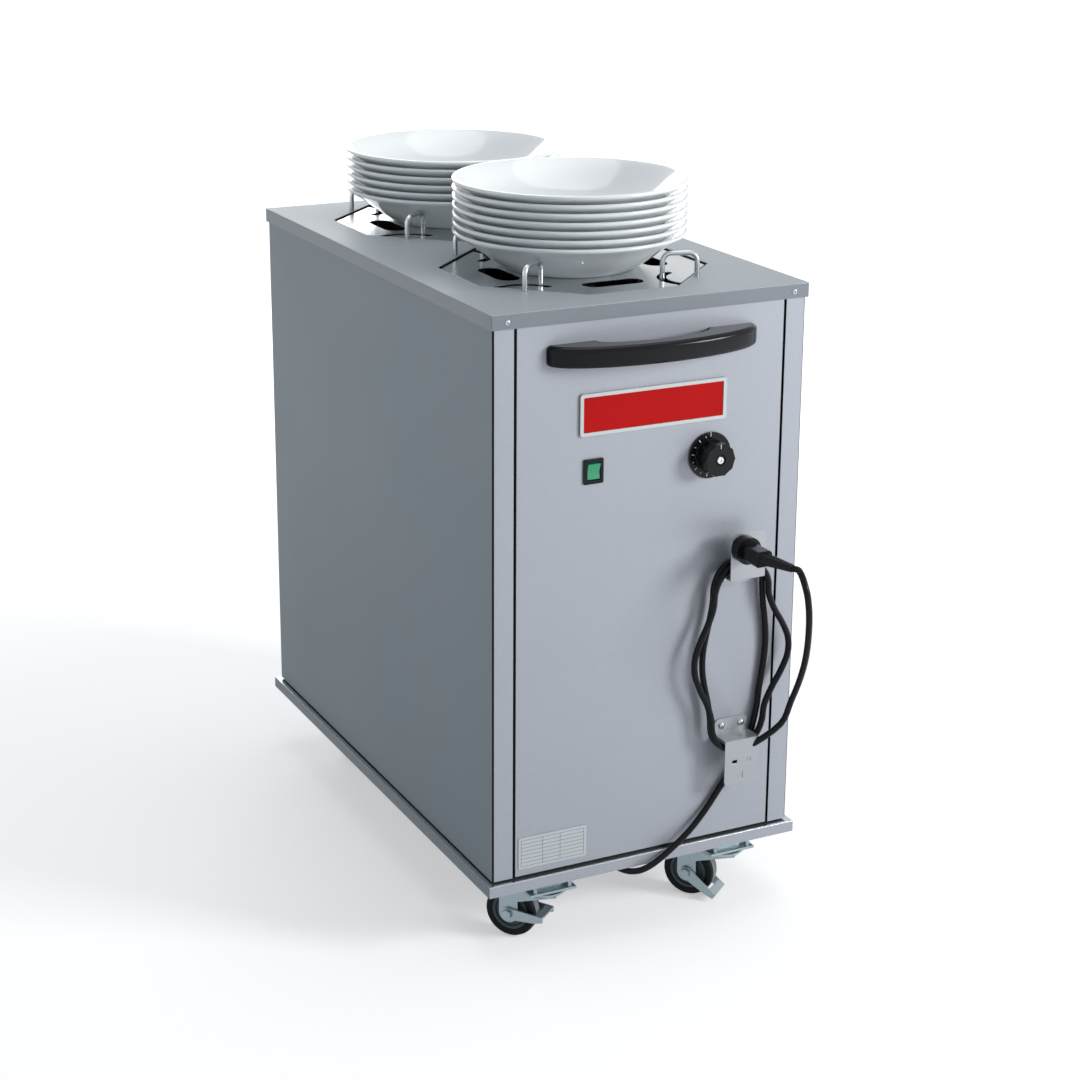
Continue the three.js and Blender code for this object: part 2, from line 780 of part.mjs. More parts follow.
function liftCarriage() {
  const bore = columnSize / 2 + runningGap;
  const sleeve = bore + sleeveWall;
  const crossbarTop = sleeveTop - 10;
  let carriage = join(
    block(-columnOffset, columnOffset, -crossbarWidth / 2, crossbarWidth / 2,
      crossbarTop - crossbarThickness, crossbarTop),
    barZ(0, 0, pedestalRadius, crossbarTop - 1, platformUnderside - touchGap, 20),
  );
  for (const side of [-1, 1]) {
    const x = side * columnOffset;
    carriage = join(
      carriage,
      post(x, 0, 2 * sleeve, 2 * sleeve, sleeveBottom, sleeveTop),
      block(x - sleeve, x + sleeve, sleeve - hangerThickness, sleeve, hangerBottom, sleeveBottom + 1),
      block(x - sleeve, x + sleeve, sleeve - hangerThickness, springOffset + springRadius + 2,
        hangerBottom, hangerBottom + hangerThickness),
    );
    carriage = cut(carriage, post(x, 0, 2 * bore, 2 * bore, hangerBottom - 1, sleeveTop + 1));
  }
  return carriage;
}

// A coil spring standing between the carriage's tab and the frame's bracket.
function liftSpring() {
  const bottom = hangerBottom + hangerThickness + touchGap + springWire / 2;
  const top = bracketBottom - touchGap - springWire / 2;
  const steps = springCurls * 8;
  const points = [];
  for (let step = 0; step <= steps; step += 1) {
    const turn = 2 * Math.PI * step / 8;
    points.push(new THREE.Vector3(
      (springRadius - springWire / 2) * Math.cos(turn),
      (springRadius - springWire / 2) * Math.sin(turn),
      bottom + (top - bottom) * step / steps,
    ));
  }
  return ringTube(points, springWire / 2, 5);
}

// The arc slots follow the guides' inner legs and run out through the corner edges.
function liftPlatform() {
  const apothem = wellApothem - platformGap;
  const halfSide = wellHalfSide - platformGap * Math.tan(Math.PI / 8);
  let platform = prism(polygon(octagonPoints(apothem, halfSide)), platformUnderside, platformTop);
  for (let side = 0; side < 4; side += 1) {
    const rim = block(apothem - casingSheet, apothem, -halfSide + 8, halfSide - 8,
      platformTop - platformRim, platformUnderside + 0.5);
    platform = join(platform, rim.rotate([0, 0, 90 * side]));
    const straight = (windowLength - windowWidth) / 2;
    const opening = new THREE.Shape();
    opening.moveTo(windowOffset + windowWidth / 2, -straight);
    opening.lineTo(windowOffset + windowWidth / 2, straight);
    opening.absarc(windowOffset, straight, windowWidth / 2, 0, Math.PI);
    opening.lineTo(windowOffset - windowWidth / 2, -straight);
    opening.absarc(windowOffset, -straight, windowWidth / 2, Math.PI, Math.PI * 2);
    platform = cut(platform, prism(opening, platformUnderside - 1, platformTop + 1, 3).rotate([0, 0, 90 * side]));
  }
  for (const guide of guides) {
    const from = radians(guide.inward + guideSlotEnd);
    const to = radians(guide.inward + 110);
    const slot = new THREE.Shape();
    const endX = guide.x + guideSpacing * Math.cos(from);
    const endY = guide.y + guideSpacing * Math.sin(from);
    slot.absarc(guide.x, guide.y, guideSpacing + guideSlotWidth / 2, from, to, false);
    slot.absarc(guide.x, guide.y, guideSpacing - guideSlotWidth / 2, to, from, true);
    slot.absarc(endX, endY, guideSlotWidth / 2, from + Math.PI, from + Math.PI * 2, false);
    platform = cut(platform, prism(slot, platformUnderside - platformRim, platformTop + 1, 5));
  }
  return platform;
}

// An inverted U: the pivot leg stands at the origin and the inner leg at +x.
function plateGuide() {
  const crest = coverTop + guideHeight - guideRod / 2;
  const corners = [
    new THREE.Vector3(0, 0, baseTop + touchGap),
    new THREE.Vector3(0, 0, crest),
    new THREE.Vector3(guideSpacing, 0, crest),
    new THREE.Vector3(guideSpacing, 0, baseTop + guideBossHeight + 10),
  ];
  return ringTube(roundedPath(corners, guideBend, 3), guideRod / 2, 8);
}

function heatingElement() {
  const half = heaterWidth / 2;
  const level = baseTop + heaterHeight;
  const inlet = 20;
  const corners = [
    [-inlet, -heaterDepth / 2, baseTop + touchGap], [-inlet, -heaterDepth / 2, level],
    [-half, -heaterDepth / 2, level], [-half, heaterDepth / 2, level],
    [half, heaterDepth / 2, level], [half, -heaterDepth / 2, level],
    [inlet, -heaterDepth / 2, level], [inlet, -heaterDepth / 2, baseTop + touchGap],
  ].map(([x, y, z]) => new THREE.Vector3(x, y, z));
  const bend = Math.min(heaterBend, heaterHeight * 0.6);
  return ringTube(roundedPath(corners, bend, 3), heaterRod / 2, 6);
}

for (const well of wells) {
  const group = placedGroup(0, well.y, 0);
  addPiece(`${well.name}_lift_frame`, liftFrame(), finishes.zinc, group);
  addPiece(`${well.name}_lift_carriage`, liftCarriage(), finishes.zinc, group);
  addPiece(`${well.name}_lift_platform`, liftPlatform(), finishes.polished, group);
  addPiece(`${well.name}_heating_element`, heatingElement(), finishes.heater, group);
  for (const [side, sign] of [['left', -1], ['right', 1]]) {
    const spring = addPiece(`${well.name}_${side}_lift_spring`, liftSpring(), finishes.springSteel, group);
    spring.position.set(sign * columnOffset, springOffset, 0);
  }
  for (const guide of guides) {
    const rod = addPiece(`${well.name}_well_${guide.name}_guide`, plateGuide(), finishes.polished, group);
    rod.position.set(guide.x, guide.y, 0);
    rod.rotation.z = radians(guide.inward + guide.swing);
  }
}

// ---------------------------------------------------------------- plates

// Nested plates as one turned comb: each rim shows below the next.
function plateStack(count) {
  const points = [
    [0, plateFootHeight], [plateFoot - plateFootRing - 1, plateFootHeight],
    [plateFoot - plateFootRing, 0], [plateFoot, 0], [plateFoot + plateFootRing, plateFootHeight],
    [plateRadius - plateShoulder, plateShoulderHeight],
  ];
  for (let index = 0; index < count; index += 1) {
    const rim = index * platePitch + plateHeight;
    if (index > 0) points.push([plateRadius - plateNotch + plateNotchLean, rim - platePitch]);
    points.push([plateRadius, rim - plateLip], [plateRadius, rim]);
    if (index < count - 1) points.push([plateRadius - plateNotch, rim - plateNotchDrop]);
  }
  const top = (count - 1) * platePitch;
  const inside = new THREE.QuadraticBezierCurve(
    new THREE.Vector2(plateRadius - plateLip, top + plateHeight),
    new THREE.Vector2(plateRadius - plateShoulder, top + plateFloor + plateLip),
    new THREE.Vector2(plateFloorRadius, top + plateFloor),
  ).getPoints(3).map((point) => point.toArray());
  points.push(...inside, [0, top + plateFloor]);
  return turned(points, 20);
}

for (const well of wells) {
  const stack = addPiece(`${well.name}_plate_stack`, plateStack(plateCounts[well.name]), finishes.china);
  stack.position.set(0, well.y + stackShift, platformTop + touchGap);
}

// ---------------------------------------------------------------- casters

const crownBottom = 2 * wheelRadius + wheelHeadroom;
const crownTop = crownBottom + crownThickness;
const raceBottom = crownTop + touchGap;
const casterPlateBottom = raceBottom + raceHeight;
const casterPlateTop = casterPlateBottom + casterPlateThickness;
const legInside = wheelWidth / 2 + legClearance;
const legOutside = legInside + legThickness;
const stirrupInside = legOutside + runningGap;
const stirrupOutside = stirrupInside + stirrupThickness;

// Top plate, ball race and bolts, with a packing block up to the base tray.
function casterPlate() {
  let body = join(
    post(0, 0, casterPlateWidth, casterPlateDepth, casterPlateBottom, casterPlateTop),
    barZ(0, 0, raceRadius, raceBottom, casterPlateBottom + 1, 20),
    post(0, 0, spacerWidth, spacerDepth, casterPlateTop - 1, trayUnderside - touchGap),
  );
  for (const x of [-1, 1]) {
    for (const y of [-1, 1]) {
      body = join(body, barZ(
        x * boltSpacingX / 2, y * boltSpacingY / 2, boltRadius,
        casterPlateTop - 1, trayUnderside - touchGap, 6,
      ));
    }
  }
  return body;
}

// The fork trails along +x. Each leg runs straight up from the axle and widens into a web
// whose lower edge climbs to the front of the dished crown.
function casterFork(braked) {
  const legFront = casterTrail - legWidth / 2;
  const legRear = casterTrail + legWidth / 2;
  const crownRear = casterTrail + crownRearMargin;
  const leg = new THREE.Shape();
  leg.moveTo(-crownFront, crownTop);
  leg.lineTo(-crownFront, crownBottom - crownLap);
  leg.lineTo(legFront, wheelRadius + legShoulder);
  leg.lineTo(legFront, wheelRadius);
  leg.absarc(casterTrail, wheelRadius, legWidth / 2, Math.PI, Math.PI * 2, false);
  leg.lineTo(legRear, wheelRadius + legShoulder);
  leg.lineTo(crownRear, crownTop);
  const crown = turned([
    [0, crownBottom], [crownRadius - crownThickness, crownBottom], [crownRadius, crownTop],
    [crownRadius, crownTop + crownRim], [crownRadius - legThickness, crownTop + crownRim],
    [crownRadius - legThickness, crownTop], [0, crownTop],
  ], 16);
  let fork = join(crown, block(0, crownRear, -legOutside, legOutside, crownBottom, crownTop));
  for (const side of [-1, 1]) {
    const inner = side < 0 ? -legOutside : legInside;
    fork = join(fork, plate(leg, inner, inner + legThickness, 5));
  }
  const headInside = braked ? stirrupOutside + runningGap : legOutside - 0.5;
  const axle = barY(casterTrail, wheelRadius, axleRadius, -headInside - 4, headInside + 4, 12);
  const heads = [-1, 1].map((side) => barY(
    casterTrail, wheelRadius, axleRadius + 3,
    side < 0 ? -headInside - 4 : headInside, side < 0 ? -headInside : headInside + 4, 6,
  ));
  return join(fork, axle, ...heads);
}

function wheelCore() {
  const half = wheelWidth / 2;
  const bore = axleRadius + runningGap;
  return turned([
    [bore, -half], [11, -half], [13, -half + 4], [wheelCoreRadius, -half + 2],
    [wheelCoreRadius, half - 2], [13, half - 4], [11, half], [bore, half], [bore, -half],
  ], 20).rotate([90, 0, 0]);
}

function wheelTyre() {
  const half = wheelWidth / 2;
  const inner = wheelCoreRadius + touchGap;
  return turned([
    [inner, -half + 1], [wheelRadius - 4, -half], [wheelRadius, -half + 5],
    [wheelRadius, half - 5], [wheelRadius - 4, half], [inner, half - 1], [inner, -half + 1],
  ], 20).rotate([90, 0, 0]);
}

// A brake stirrup about the axle: two eyes, two arms and the foot plate between them.
function brakeStirrup(angle) {
  const arm = new THREE.Shape();
  arm.absarc(0, 0, stirrupEye, Math.PI / 2, Math.PI * 1.5, false);
  arm.lineTo(stirrupReach + stirrupPlate, -5);
  arm.lineTo(stirrupReach + stirrupPlate, 3);
  arm.lineTo(stirrupReach, 6);
  let stirrup = block(stirrupReach, stirrupReach + stirrupPlate, -stirrupOutside, stirrupOutside, -5, -2);
  for (const side of [-1, 1]) {
    const inner = side < 0 ? -stirrupOutside : stirrupInside;
    stirrup = join(stirrup, plate(arm, inner, inner + stirrupThickness, 6));
  }
  const bore = barY(0, 0, axleRadius + runningGap, -stirrupOutside - 1, stirrupOutside + 1, 12);
  return cut(stirrup, bore).rotate([0, -angle, 0]);
}

for (const caster of casters) {
  const braked = caster.stirrup !== undefined;
  const x = caster.side * casterX;
  const y = caster.name.startsWith('front') ? casterFrontY : casterRearY;
  const mount = placedGroup(x, y, 0);
  addPiece(`${caster.name}_caster_plate`, casterPlate(), finishes.zinc, mount);
  const swivel = placedGroup(x, y, 0, caster.heading);
  addPiece(`${caster.name}_caster_fork`, casterFork(braked), finishes.zinc, swivel);
  const core = addPiece(`${caster.name}_wheel_core`, wheelCore(), finishes.greyPlastic, swivel);
  const tyre = addPiece(`${caster.name}_tyre`, wheelTyre(), finishes.blackRubber, swivel);
  core.position.set(casterTrail, 0, wheelRadius);
  tyre.position.set(casterTrail, 0, wheelRadius);
  if (braked) {
    const stirrup = addPiece(
      `${caster.name}_brake_stirrup`, brakeStirrup(caster.stirrup), finishes.zinc, swivel,
    );
    stirrup.position.set(casterTrail, 0, wheelRadius);
  }
}

// ---------------------------------------------------------------- cord and plug

const cordRadius = cordDiameter / 2;
const woundBack = fittingFace - cordRadius - touchGap;
const woundFront = hookFront + hookSheet + cordRadius + touchGap;
const woundClear = cordRadius + touchGap;
const sideSteps = 6;
const bendSteps = 6;

// Height of an end bend's centre whose cord just rests on the corners of a hook's arm.
const bendCentre = (radius) => Math.sqrt(
  (radius * Math.cos(Math.PI / bendSteps / 2) - woundClear) ** 2 - (hookWidth / 2) ** 2,
);

// One turn runs up the right side, over the upper hook, down the left side and round
// the lower hook. The radius, the bulge of each side and the depth grow steadily.
function woundPoint(turns) {
  const share = turns / woundTurns;
  const radius = woundInnerRadius + (woundOuterRadius - woundInnerRadius) * share;
  const y = woundBack + (woundFront - woundBack) * share;
  const top = upperArm - bendCentre(radius);
  const bottom = lowerArm + bendCentre(radius);
  const part = Math.floor(turns * 4 + 1e-9) % 4;
  const along = turns * 4 - Math.floor(turns * 4 + 1e-9);
  const growth = part === 0 ? woundRightGrowth : woundLeftGrowth;
  const side = Math.sin(Math.PI * along) ** 2 * (woundBulge + growth * share);
  if (part === 0) return new THREE.Vector3(hookCentre + radius + side, y, bottom + (top - bottom) * along);
  if (part === 2) return new THREE.Vector3(hookCentre - radius - side, y, top + (bottom - top) * along);
  const angle = Math.PI * (part === 1 ? along : 1 + along);
  return new THREE.Vector3(
    hookCentre + radius * Math.cos(angle), y, (part === 1 ? top : bottom) + radius * Math.sin(angle),
  );
}

const headingFrom = (from, to) => to.clone().sub(from).normalize();
const towards = (from, heading, distance) => from.clone().addScaledVector(heading, distance);

// The cord starts a little way up the right side and leaves before its last bend ends.
// Both ends run straight on for one diameter.
function woundPath() {
  const points = [woundPoint(woundStartTurn)];
  for (let quarter = 0; quarter < woundTurns * 4; quarter += 1) {
    const steps = quarter % 2 === 0 ? sideSteps : bendSteps;
    const last = quarter === woundTurns * 4 - 1 ? steps - 2 : steps;
    for (let step = 1; step <= last; step += 1) points.push(woundPoint((quarter + step / steps) / 4));
  }
  const count = points.length;
  const outHeading = headingFrom(points[count - 2], points[count - 1]);
  const backHeading = headingFrom(points[1], points[0]);
  points.push(towards(points[count - 1], outHeading, cordDiameter));
  points.unshift(towards(points[0], backHeading, cordDiameter));
  return points;
}

// Least distance between stretches of the wound cord that aren't neighbours along it.
function leastGap(points, diameter) {
  const dense = [];
  for (let i = 0; i < points.length - 1; i += 1) {
    for (let step = 0; step < 8; step += 1) {
      dense.push(points[i].clone().lerp(points[i + 1], step / 8));
    }
  }
  let least = Infinity;
  const apart = 8 * 6;
  for (let i = 0; i < dense.length; i += 1) {
    for (let j = i + apart; j < dense.length; j += 1) {
      least = Math.min(least, dense[i].distanceTo(dense[j]));
    }
  }
  return least - diameter;
}

const wound = woundPath();
console.log(`Wound cord: least gap to itself ${leastGap(wound, cordDiameter).toFixed(2)} mm`);

// Gland under the tray: a short barrel on a foot, facing forwards to the cord.
const glandCentre = new THREE.Vector3(-72, -340, 103);
const glandHeading = new THREE.Vector3(0.555, -0.832, 0).normalize();

function cordGland() {
  const barrel = new THREE.CylinderGeometry(glandRadius, glandRadius, glandLength, 16);
  barrel.rotateZ(-Math.PI / 2);
  const foot = block(-glandLength / 2, glandLength / 2 - 8, -glandRadius, glandRadius, 0,
    trayUnderside - touchGap - glandCentre.z);
  return join(solid(barrel), foot);
}

const gland = addPiece('cord_gland', cordGland(), finishes.blackPlastic);
gland.position.copy(glandCentre);
gland.rotation.z = Math.atan2(glandHeading.y, glandHeading.x);

// The plug is parked in the upper hook, its pins through the slots.
const plugCentre = new THREE.Vector3(hookCentre + plugOffset, hookFront - touchGap, upperArm + plugRise);
const reliefHeading = new THREE.Vector3(0.47, -0.87, -0.11).normalize();

function parkedPlug() {
  const base = barY(0, 0, plugRadius, -plugBase, 0, 24);
  const grip = plate(
    roundedRectangle(-plugGripWidth / 2, plugGripWidth / 2, -plugGripHeight / 2, plugGripHeight / 2, 6),
    -plugBase - plugGripLength, -plugBase + 1, 3,
  );
  const relief = new THREE.CylinderGeometry(cordRadius + 1, reliefRadius, reliefLength, 16);
  relief.translate(0, reliefLength / 2, 0);
  relief.applyQuaternion(new THREE.Quaternion().setFromUnitVectors(new THREE.Vector3(0, 1, 0), reliefHeading));
  relief.translate(0, -plugBase - plugGripLength + reliefRadius, 0);
  const pins = pinSlots.map((slot) => barY(
    plugSlots[slot][0] - plugOffset, plugSlots[slot][1] - plugRise, pinRadius, -1, pinLength, 8,
  ));
  return join(base, grip, solid(relief), ...pins);
}

addPiece('plug', parkedPlug().translate(plugCentre.toArray()), finishes.blackPlastic);
const reliefEnd = plugCentre.clone()
  .add(new THREE.Vector3(0, -plugBase - plugGripLength + reliefRadius, 0))
  .addScaledVector(reliefHeading, reliefLength + touchGap);

// Free stretches. Their inner points were chosen by hand along the real cord's run.
function freeCord(points) {
  return sweep(new THREE.CatmullRomCurve3(points, false, 'centripetal'), 22, cordRadius, 8);
}

const woundStart = wound[0];
const woundEnd = wound[wound.length - 1];
const startHeading = headingFrom(wound[0], wound[1]);
const endHeading = headingFrom(wound[wound.length - 2], woundEnd);
const glandMouth = towards(glandCentre, glandHeading, glandLength / 2 + touchGap);

const leadPoints = [
  glandMouth,
  towards(glandMouth, glandHeading, 9),
  ...[
    [-47, -383, 98.5], [-36, -400, 94.4], [-26, -413, 92.9], [-14, -421, 94.6], [0, -423.8, 99.2],
    [14, -423.6, 105.4], [30, -422.4, 114], [47, -420.4, 124], [68, -417.6, 138], [94, -414.4, 162],
    [117, -412.7, 190], [135, -412.3, 212], [149, -412.2, 231], [161, -412.1, 252],
  ].map((place) => new THREE.Vector3(...place)),
  towards(woundStart, startHeading, -9),
  towards(woundStart, startHeading, -touchGap),
];

const tailPoints = [
  towards(woundEnd, endHeading, touchGap),
  towards(woundEnd, endHeading, 9),
  ...[
    [184, -459, 292], [188.5, -476, 332], [187.5, -497, 372], [181, -519, 414], [169, -541, 466],
    [160, -551.5, 500], [154.5, -552.5, 523],
  ].map((place) => new THREE.Vector3(...place)),
  towards(reliefEnd, reliefHeading, 9),
  reliefEnd,
];

addPiece('cord_lead', freeCord(leadPoints), finishes.blackRubber);
addPiece('cord_wound', ringTube(wound, cordRadius, 6), finishes.blackRubber);
addPiece('cord_tail', freeCord(tailPoints), finishes.blackRubber);

// ---------------------------------------------------------------- origin

// The origin lies on the floor, under the middle of the cart without its cord.
const frontmost = frontFace - touchGap - handleReach;
const rearmost = baseDepth / 2;
cart.position.y = -(frontmost + rearmost) / 2;

export default cart;
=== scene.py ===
"""A heated plate dispenser cart: its looks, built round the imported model."""

import json
import math

import bmesh
import bpy
from bpy.props import FloatProperty, FloatVectorProperty, IntProperty, PointerProperty
from mathutils import Matrix, Vector

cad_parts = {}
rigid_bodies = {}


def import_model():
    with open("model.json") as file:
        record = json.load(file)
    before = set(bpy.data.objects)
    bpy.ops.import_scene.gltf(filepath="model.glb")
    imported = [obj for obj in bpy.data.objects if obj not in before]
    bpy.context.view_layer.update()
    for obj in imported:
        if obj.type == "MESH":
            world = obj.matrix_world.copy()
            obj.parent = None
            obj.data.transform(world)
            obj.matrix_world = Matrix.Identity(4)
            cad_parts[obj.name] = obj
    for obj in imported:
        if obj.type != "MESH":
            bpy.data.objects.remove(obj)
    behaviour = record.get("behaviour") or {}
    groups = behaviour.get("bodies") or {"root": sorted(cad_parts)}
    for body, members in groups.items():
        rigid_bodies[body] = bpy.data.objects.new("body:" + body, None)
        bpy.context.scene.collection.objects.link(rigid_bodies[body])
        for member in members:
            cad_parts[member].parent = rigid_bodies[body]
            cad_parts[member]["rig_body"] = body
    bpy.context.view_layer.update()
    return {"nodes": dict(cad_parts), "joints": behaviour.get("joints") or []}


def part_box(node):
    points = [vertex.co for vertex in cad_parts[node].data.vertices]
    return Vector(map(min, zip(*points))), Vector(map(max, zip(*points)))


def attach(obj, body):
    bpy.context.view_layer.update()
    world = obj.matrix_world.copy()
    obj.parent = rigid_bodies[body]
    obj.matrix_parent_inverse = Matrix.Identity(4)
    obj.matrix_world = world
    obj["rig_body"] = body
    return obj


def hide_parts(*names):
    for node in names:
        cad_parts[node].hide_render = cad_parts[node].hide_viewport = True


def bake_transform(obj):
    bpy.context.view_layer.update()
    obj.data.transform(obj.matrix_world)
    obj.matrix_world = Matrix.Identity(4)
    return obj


bl_info = {
    "name": "Plate dispenser cart",
    "version": (1, 0, 0),
    "blender": (4, 5, 0),
    "location": "View3D > Sidebar > Cart",
    "description": "Builds a heated two-stack plate dispenser on casters",
    "category": "Object",
}

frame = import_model()
NODES = frame["nodes"]
JOINTS = {joint["name"]: joint for joint in frame["joints"]}

COVER_LOW, COVER_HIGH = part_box("top_cover")
MIDDLE_Y = (COVER_LOW.y + COVER_HIGH.y) / 2
COVER_TOP = COVER_HIGH.z
FRONT_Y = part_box("front_panel")[0].y
WELLS = ("front", "rear")
CORNERS = ("front_left", "front_right", "rear_right", "rear_left")
CASTERS = ("front_left", "front_right", "rear_left", "rear_right")

# Two places nearer than this, in metres, count as one.
SAME = 1e-5


# ---- small helpers

def at(x, y, z):
    """A point from millimetres about the middle of the cart, heights from the floor."""
    return Vector((x / 1000, y / 1000 + MIDDLE_Y, z / 1000))


def mm(value):
    """Millimetres in metres."""
    return value / 1000


def turned_to(direction):
    """A matrix that turns +Z to a direction."""
    return Vector(direction).to_track_quat("Z", "X").to_matrix().to_4x4()


def sizes():
    return bpy.context.scene.cart_sizes


def colours():
    return bpy.context.scene.cart_colours


# ---- shader nodes

GRAIN_NOISE = {"Scale": 900, "Detail": 3}
CLOUD_NOISE = {"Scale": 4.5, "Detail": 4}
COAT_ROUGHNESS = 0.05
BUMP_DEPTH = 0.0002
GROUPS = {}


def set_inputs(node, values):
    for label, value in values.items():
        node.inputs[label].default_value = value


def add_node(tree, kind, operation=None, values=()):
    """A new shader node, with its operation and some of its inputs set."""
    node = tree.nodes.new("ShaderNode" + kind)
    if operation:
        node.operation = operation
    set_inputs(node, dict(values))
    return node


def new_group(name, inputs, outputs):
    """An empty shader group with its named sockets."""
    group = bpy.data.node_groups.new(name, "ShaderNodeTree")
    for label, kind, default in inputs:
        socket = group.interface.new_socket(label, in_out="INPUT", socket_type="NodeSocket" + kind)
        if default is not None:
            socket.default_value = default
    for label, kind in outputs:
        group.interface.new_socket(label, in_out="OUTPUT", socket_type="NodeSocket" + kind)
    return group, group.nodes.new("NodeGroupInput"), group.nodes.new("NodeGroupOutput")


def grain_group():
    """Fine rolled grain and slow cloudy variation, both from 0 to 1."""
    group, inside, outside = new_group(
        "Sheet grain",
        [("Vector", "Vector", None), ("Fineness", "Float", 1.0),
         ("Stretch", "Vector", (1.0, 1.0, 1.0))],
        [("Grain", "Float"), ("Cloud", "Float")],
    )
    link = group.links.new
    stretch = add_node(group, "VectorMath", "MULTIPLY")
    link(inside.outputs["Vector"], stretch.inputs[0])
    link(inside.outputs["Stretch"], stretch.inputs[1])
    grow = add_node(group, "VectorMath", "SCALE")
    link(stretch.outputs[0], grow.inputs[0])
    link(inside.outputs["Fineness"], grow.inputs["Scale"])
    fine = add_node(group, "TexNoise", values=GRAIN_NOISE)
    link(grow.outputs[0], fine.inputs["Vector"])
    cloud = add_node(group, "TexNoise", values=CLOUD_NOISE)
    link(inside.outputs["Vector"], cloud.inputs["Vector"])
    link(fine.outputs["Fac"], outside.inputs["Grain"])
    link(cloud.outputs["Fac"], outside.inputs["Cloud"])
    return group


def shift_group():
    """A colour made darker or lighter by a mask, and a value moved by the same mask."""
    group, inside, outside = new_group(
        "Shift by mask",
        [("Colour", "Color", (0.5, 0.5, 0.5, 1)), ("Mask", "Float", 0.5), ("Shade", "Float", 0.1),
         ("Value", "Float", 0.4), ("Spread", "Float", 0.1)],
        [("Colour", "Color"), ("Value", "Float")],
    )
    link = group.links.new
    centred = add_node(group, "Math", "SUBTRACT")
    centred.inputs[1].default_value = 0.5
    link(inside.outputs["Mask"], centred.inputs[0])
    shade = add_node(group, "Math", "MULTIPLY_ADD")
    shade.inputs[2].default_value = 1.0
    link(centred.outputs[0], shade.inputs[0])
    link(inside.outputs["Shade"], shade.inputs[1])
    tint = add_node(group, "VectorMath", "SCALE")
    link(inside.outputs["Colour"], tint.inputs[0])
    link(shade.outputs[0], tint.inputs["Scale"])
    value = add_node(group, "Math", "MULTIPLY_ADD")
    link(centred.outputs[0], value.inputs[0])
    link(inside.outputs["Spread"], value.inputs[1])
    link(inside.outputs["Value"], value.inputs[2])
    link(tint.outputs[0], outside.inputs["Colour"])
    link(value.outputs[0], outside.inputs["Value"])
    return group


def group_node(tree, make, values):
    """A node that holds a shader group, which is made the first time."""
    if make not in GROUPS:
        GROUPS[make] = make()
    node = add_node(tree, "Group")
    node.node_tree = GROUPS[make]
    set_inputs(node, values)
    return node


def new_material(name, values):
    """A material, its node tree, and its surface with some of the inputs set."""
    material = bpy.data.materials.new(name)
    material.use_nodes = True
    surface = material.node_tree.nodes["Principled BSDF"]
    set_inputs(surface, values)
    return material, material.node_tree, surface


def split_by_ray(tree, plain, seen, rays, output):
    """Shows one shader to rays of the kinds named, and a plain one to all others."""
    link = tree.links.new
    path = add_node(tree, "LightPath")
    share = path.outputs[f"Is {rays[0]} Ray"]
    for ray in rays[1:]:
        either = add_node(tree, "Math", "MAXIMUM")
        link(share, either.inputs[0])
        link(path.outputs[f"Is {ray} Ray"], either.inputs[1])
        share = either.outputs[0]
    choose = add_node(tree, "MixShader")
    link(share, choose.inputs["Fac"])
    link(plain.outputs[0], choose.inputs[1])
    link(seen.outputs[0], choose.inputs[2])
    link(choose.outputs[0], tree.nodes[output].inputs["Surface"])


# ---- finishes

def finish_of(name, colour, roughness, metallic=0.0, fineness=1.0, stretch=(1, 1, 1), shade=0.1,
              spread=0.1, bump=0.0, cloud_shade=0.06, coat=0.0, specular=0.5):
    """A material whose colour and roughness vary with the sheet grain."""
    material = bpy.data.materials.get(name)
    if material:
        return material
    material, tree, surface = new_material(name, {
        "Metallic": metallic, "Coat Weight": coat, "Coat Roughness": COAT_ROUGHNESS,
        "Specular IOR Level": specular})
    link = tree.links.new
    place = add_node(tree, "TexCoord")
    grain = group_node(tree, grain_group, {"Fineness": fineness, "Stretch": stretch})
    link(place.outputs["Object"], grain.inputs["Vector"])
    clouded = group_node(tree, shift_group, {
        "Colour": (*colour, 1), "Shade": cloud_shade, "Value": roughness, "Spread": spread})
    link(grain.outputs["Cloud"], clouded.inputs["Mask"])
    grained = group_node(tree, shift_group, {"Shade": shade, "Spread": spread})
    link(clouded.outputs["Colour"], grained.inputs["Colour"])
    link(clouded.outputs["Value"], grained.inputs["Value"])
    link(grain.outputs["Grain"], grained.inputs["Mask"])
    link(grained.outputs["Colour"], surface.inputs["Base Color"])
    link(grained.outputs["Value"], surface.inputs["Roughness"])
    if bump:
        relief = add_node(tree, "Bump", values={"Strength": bump, "Distance": BUMP_DEPTH})
        link(grain.outputs["Grain"], relief.inputs["Height"])
        link(relief.outputs["Normal"], surface.inputs["Normal"])
    return material


# The front and rear panels' steel. The side panels are the same steel, made darker as painted shade
# in the side steel below.
def panel_steel():
    return finish_of("panel steel", colours().panel, 0.45, 0.3, shade=0.26, spread=0.14,
                     stretch=(0.6, 0.6, 1), bump=0.15)


# A darker copy of the panel steel: painted shade on faces turned to the sides, where less light
# falls.
def shaded_side_steel():
    return finish_of("side steel painted shade", colours().side, 0.46, 0.3, shade=0.3, spread=0.14,
                     stretch=(0.6, 0.6, 1), bump=0.15, cloud_shade=0.12)


def cover_steel():
    return finish_of("cover steel", colours().cover, 0.5, 0.1, shade=0.2, spread=0.14, bump=0.1,
                     specular=0.12)


# A darker copy of the cover steel: painted shade on the cover's upright faces, which take less light
# than its top.
def shaded_rim_steel():
    return finish_of("cover rim painted shade", (0.2, 0.22, 0.245), 0.4, 0.3, shade=0.2, spread=0.14, bump=0.1,
                     specular=0.3)


def bright_steel():
    return finish_of("bright steel", colours().bright, 0.24, 0.9, shade=0.06)


def hook_steel():
    return finish_of("hook steel", colours().hook, 0.34, 0.5, shade=0.12, spread=0.12, bump=0.06)


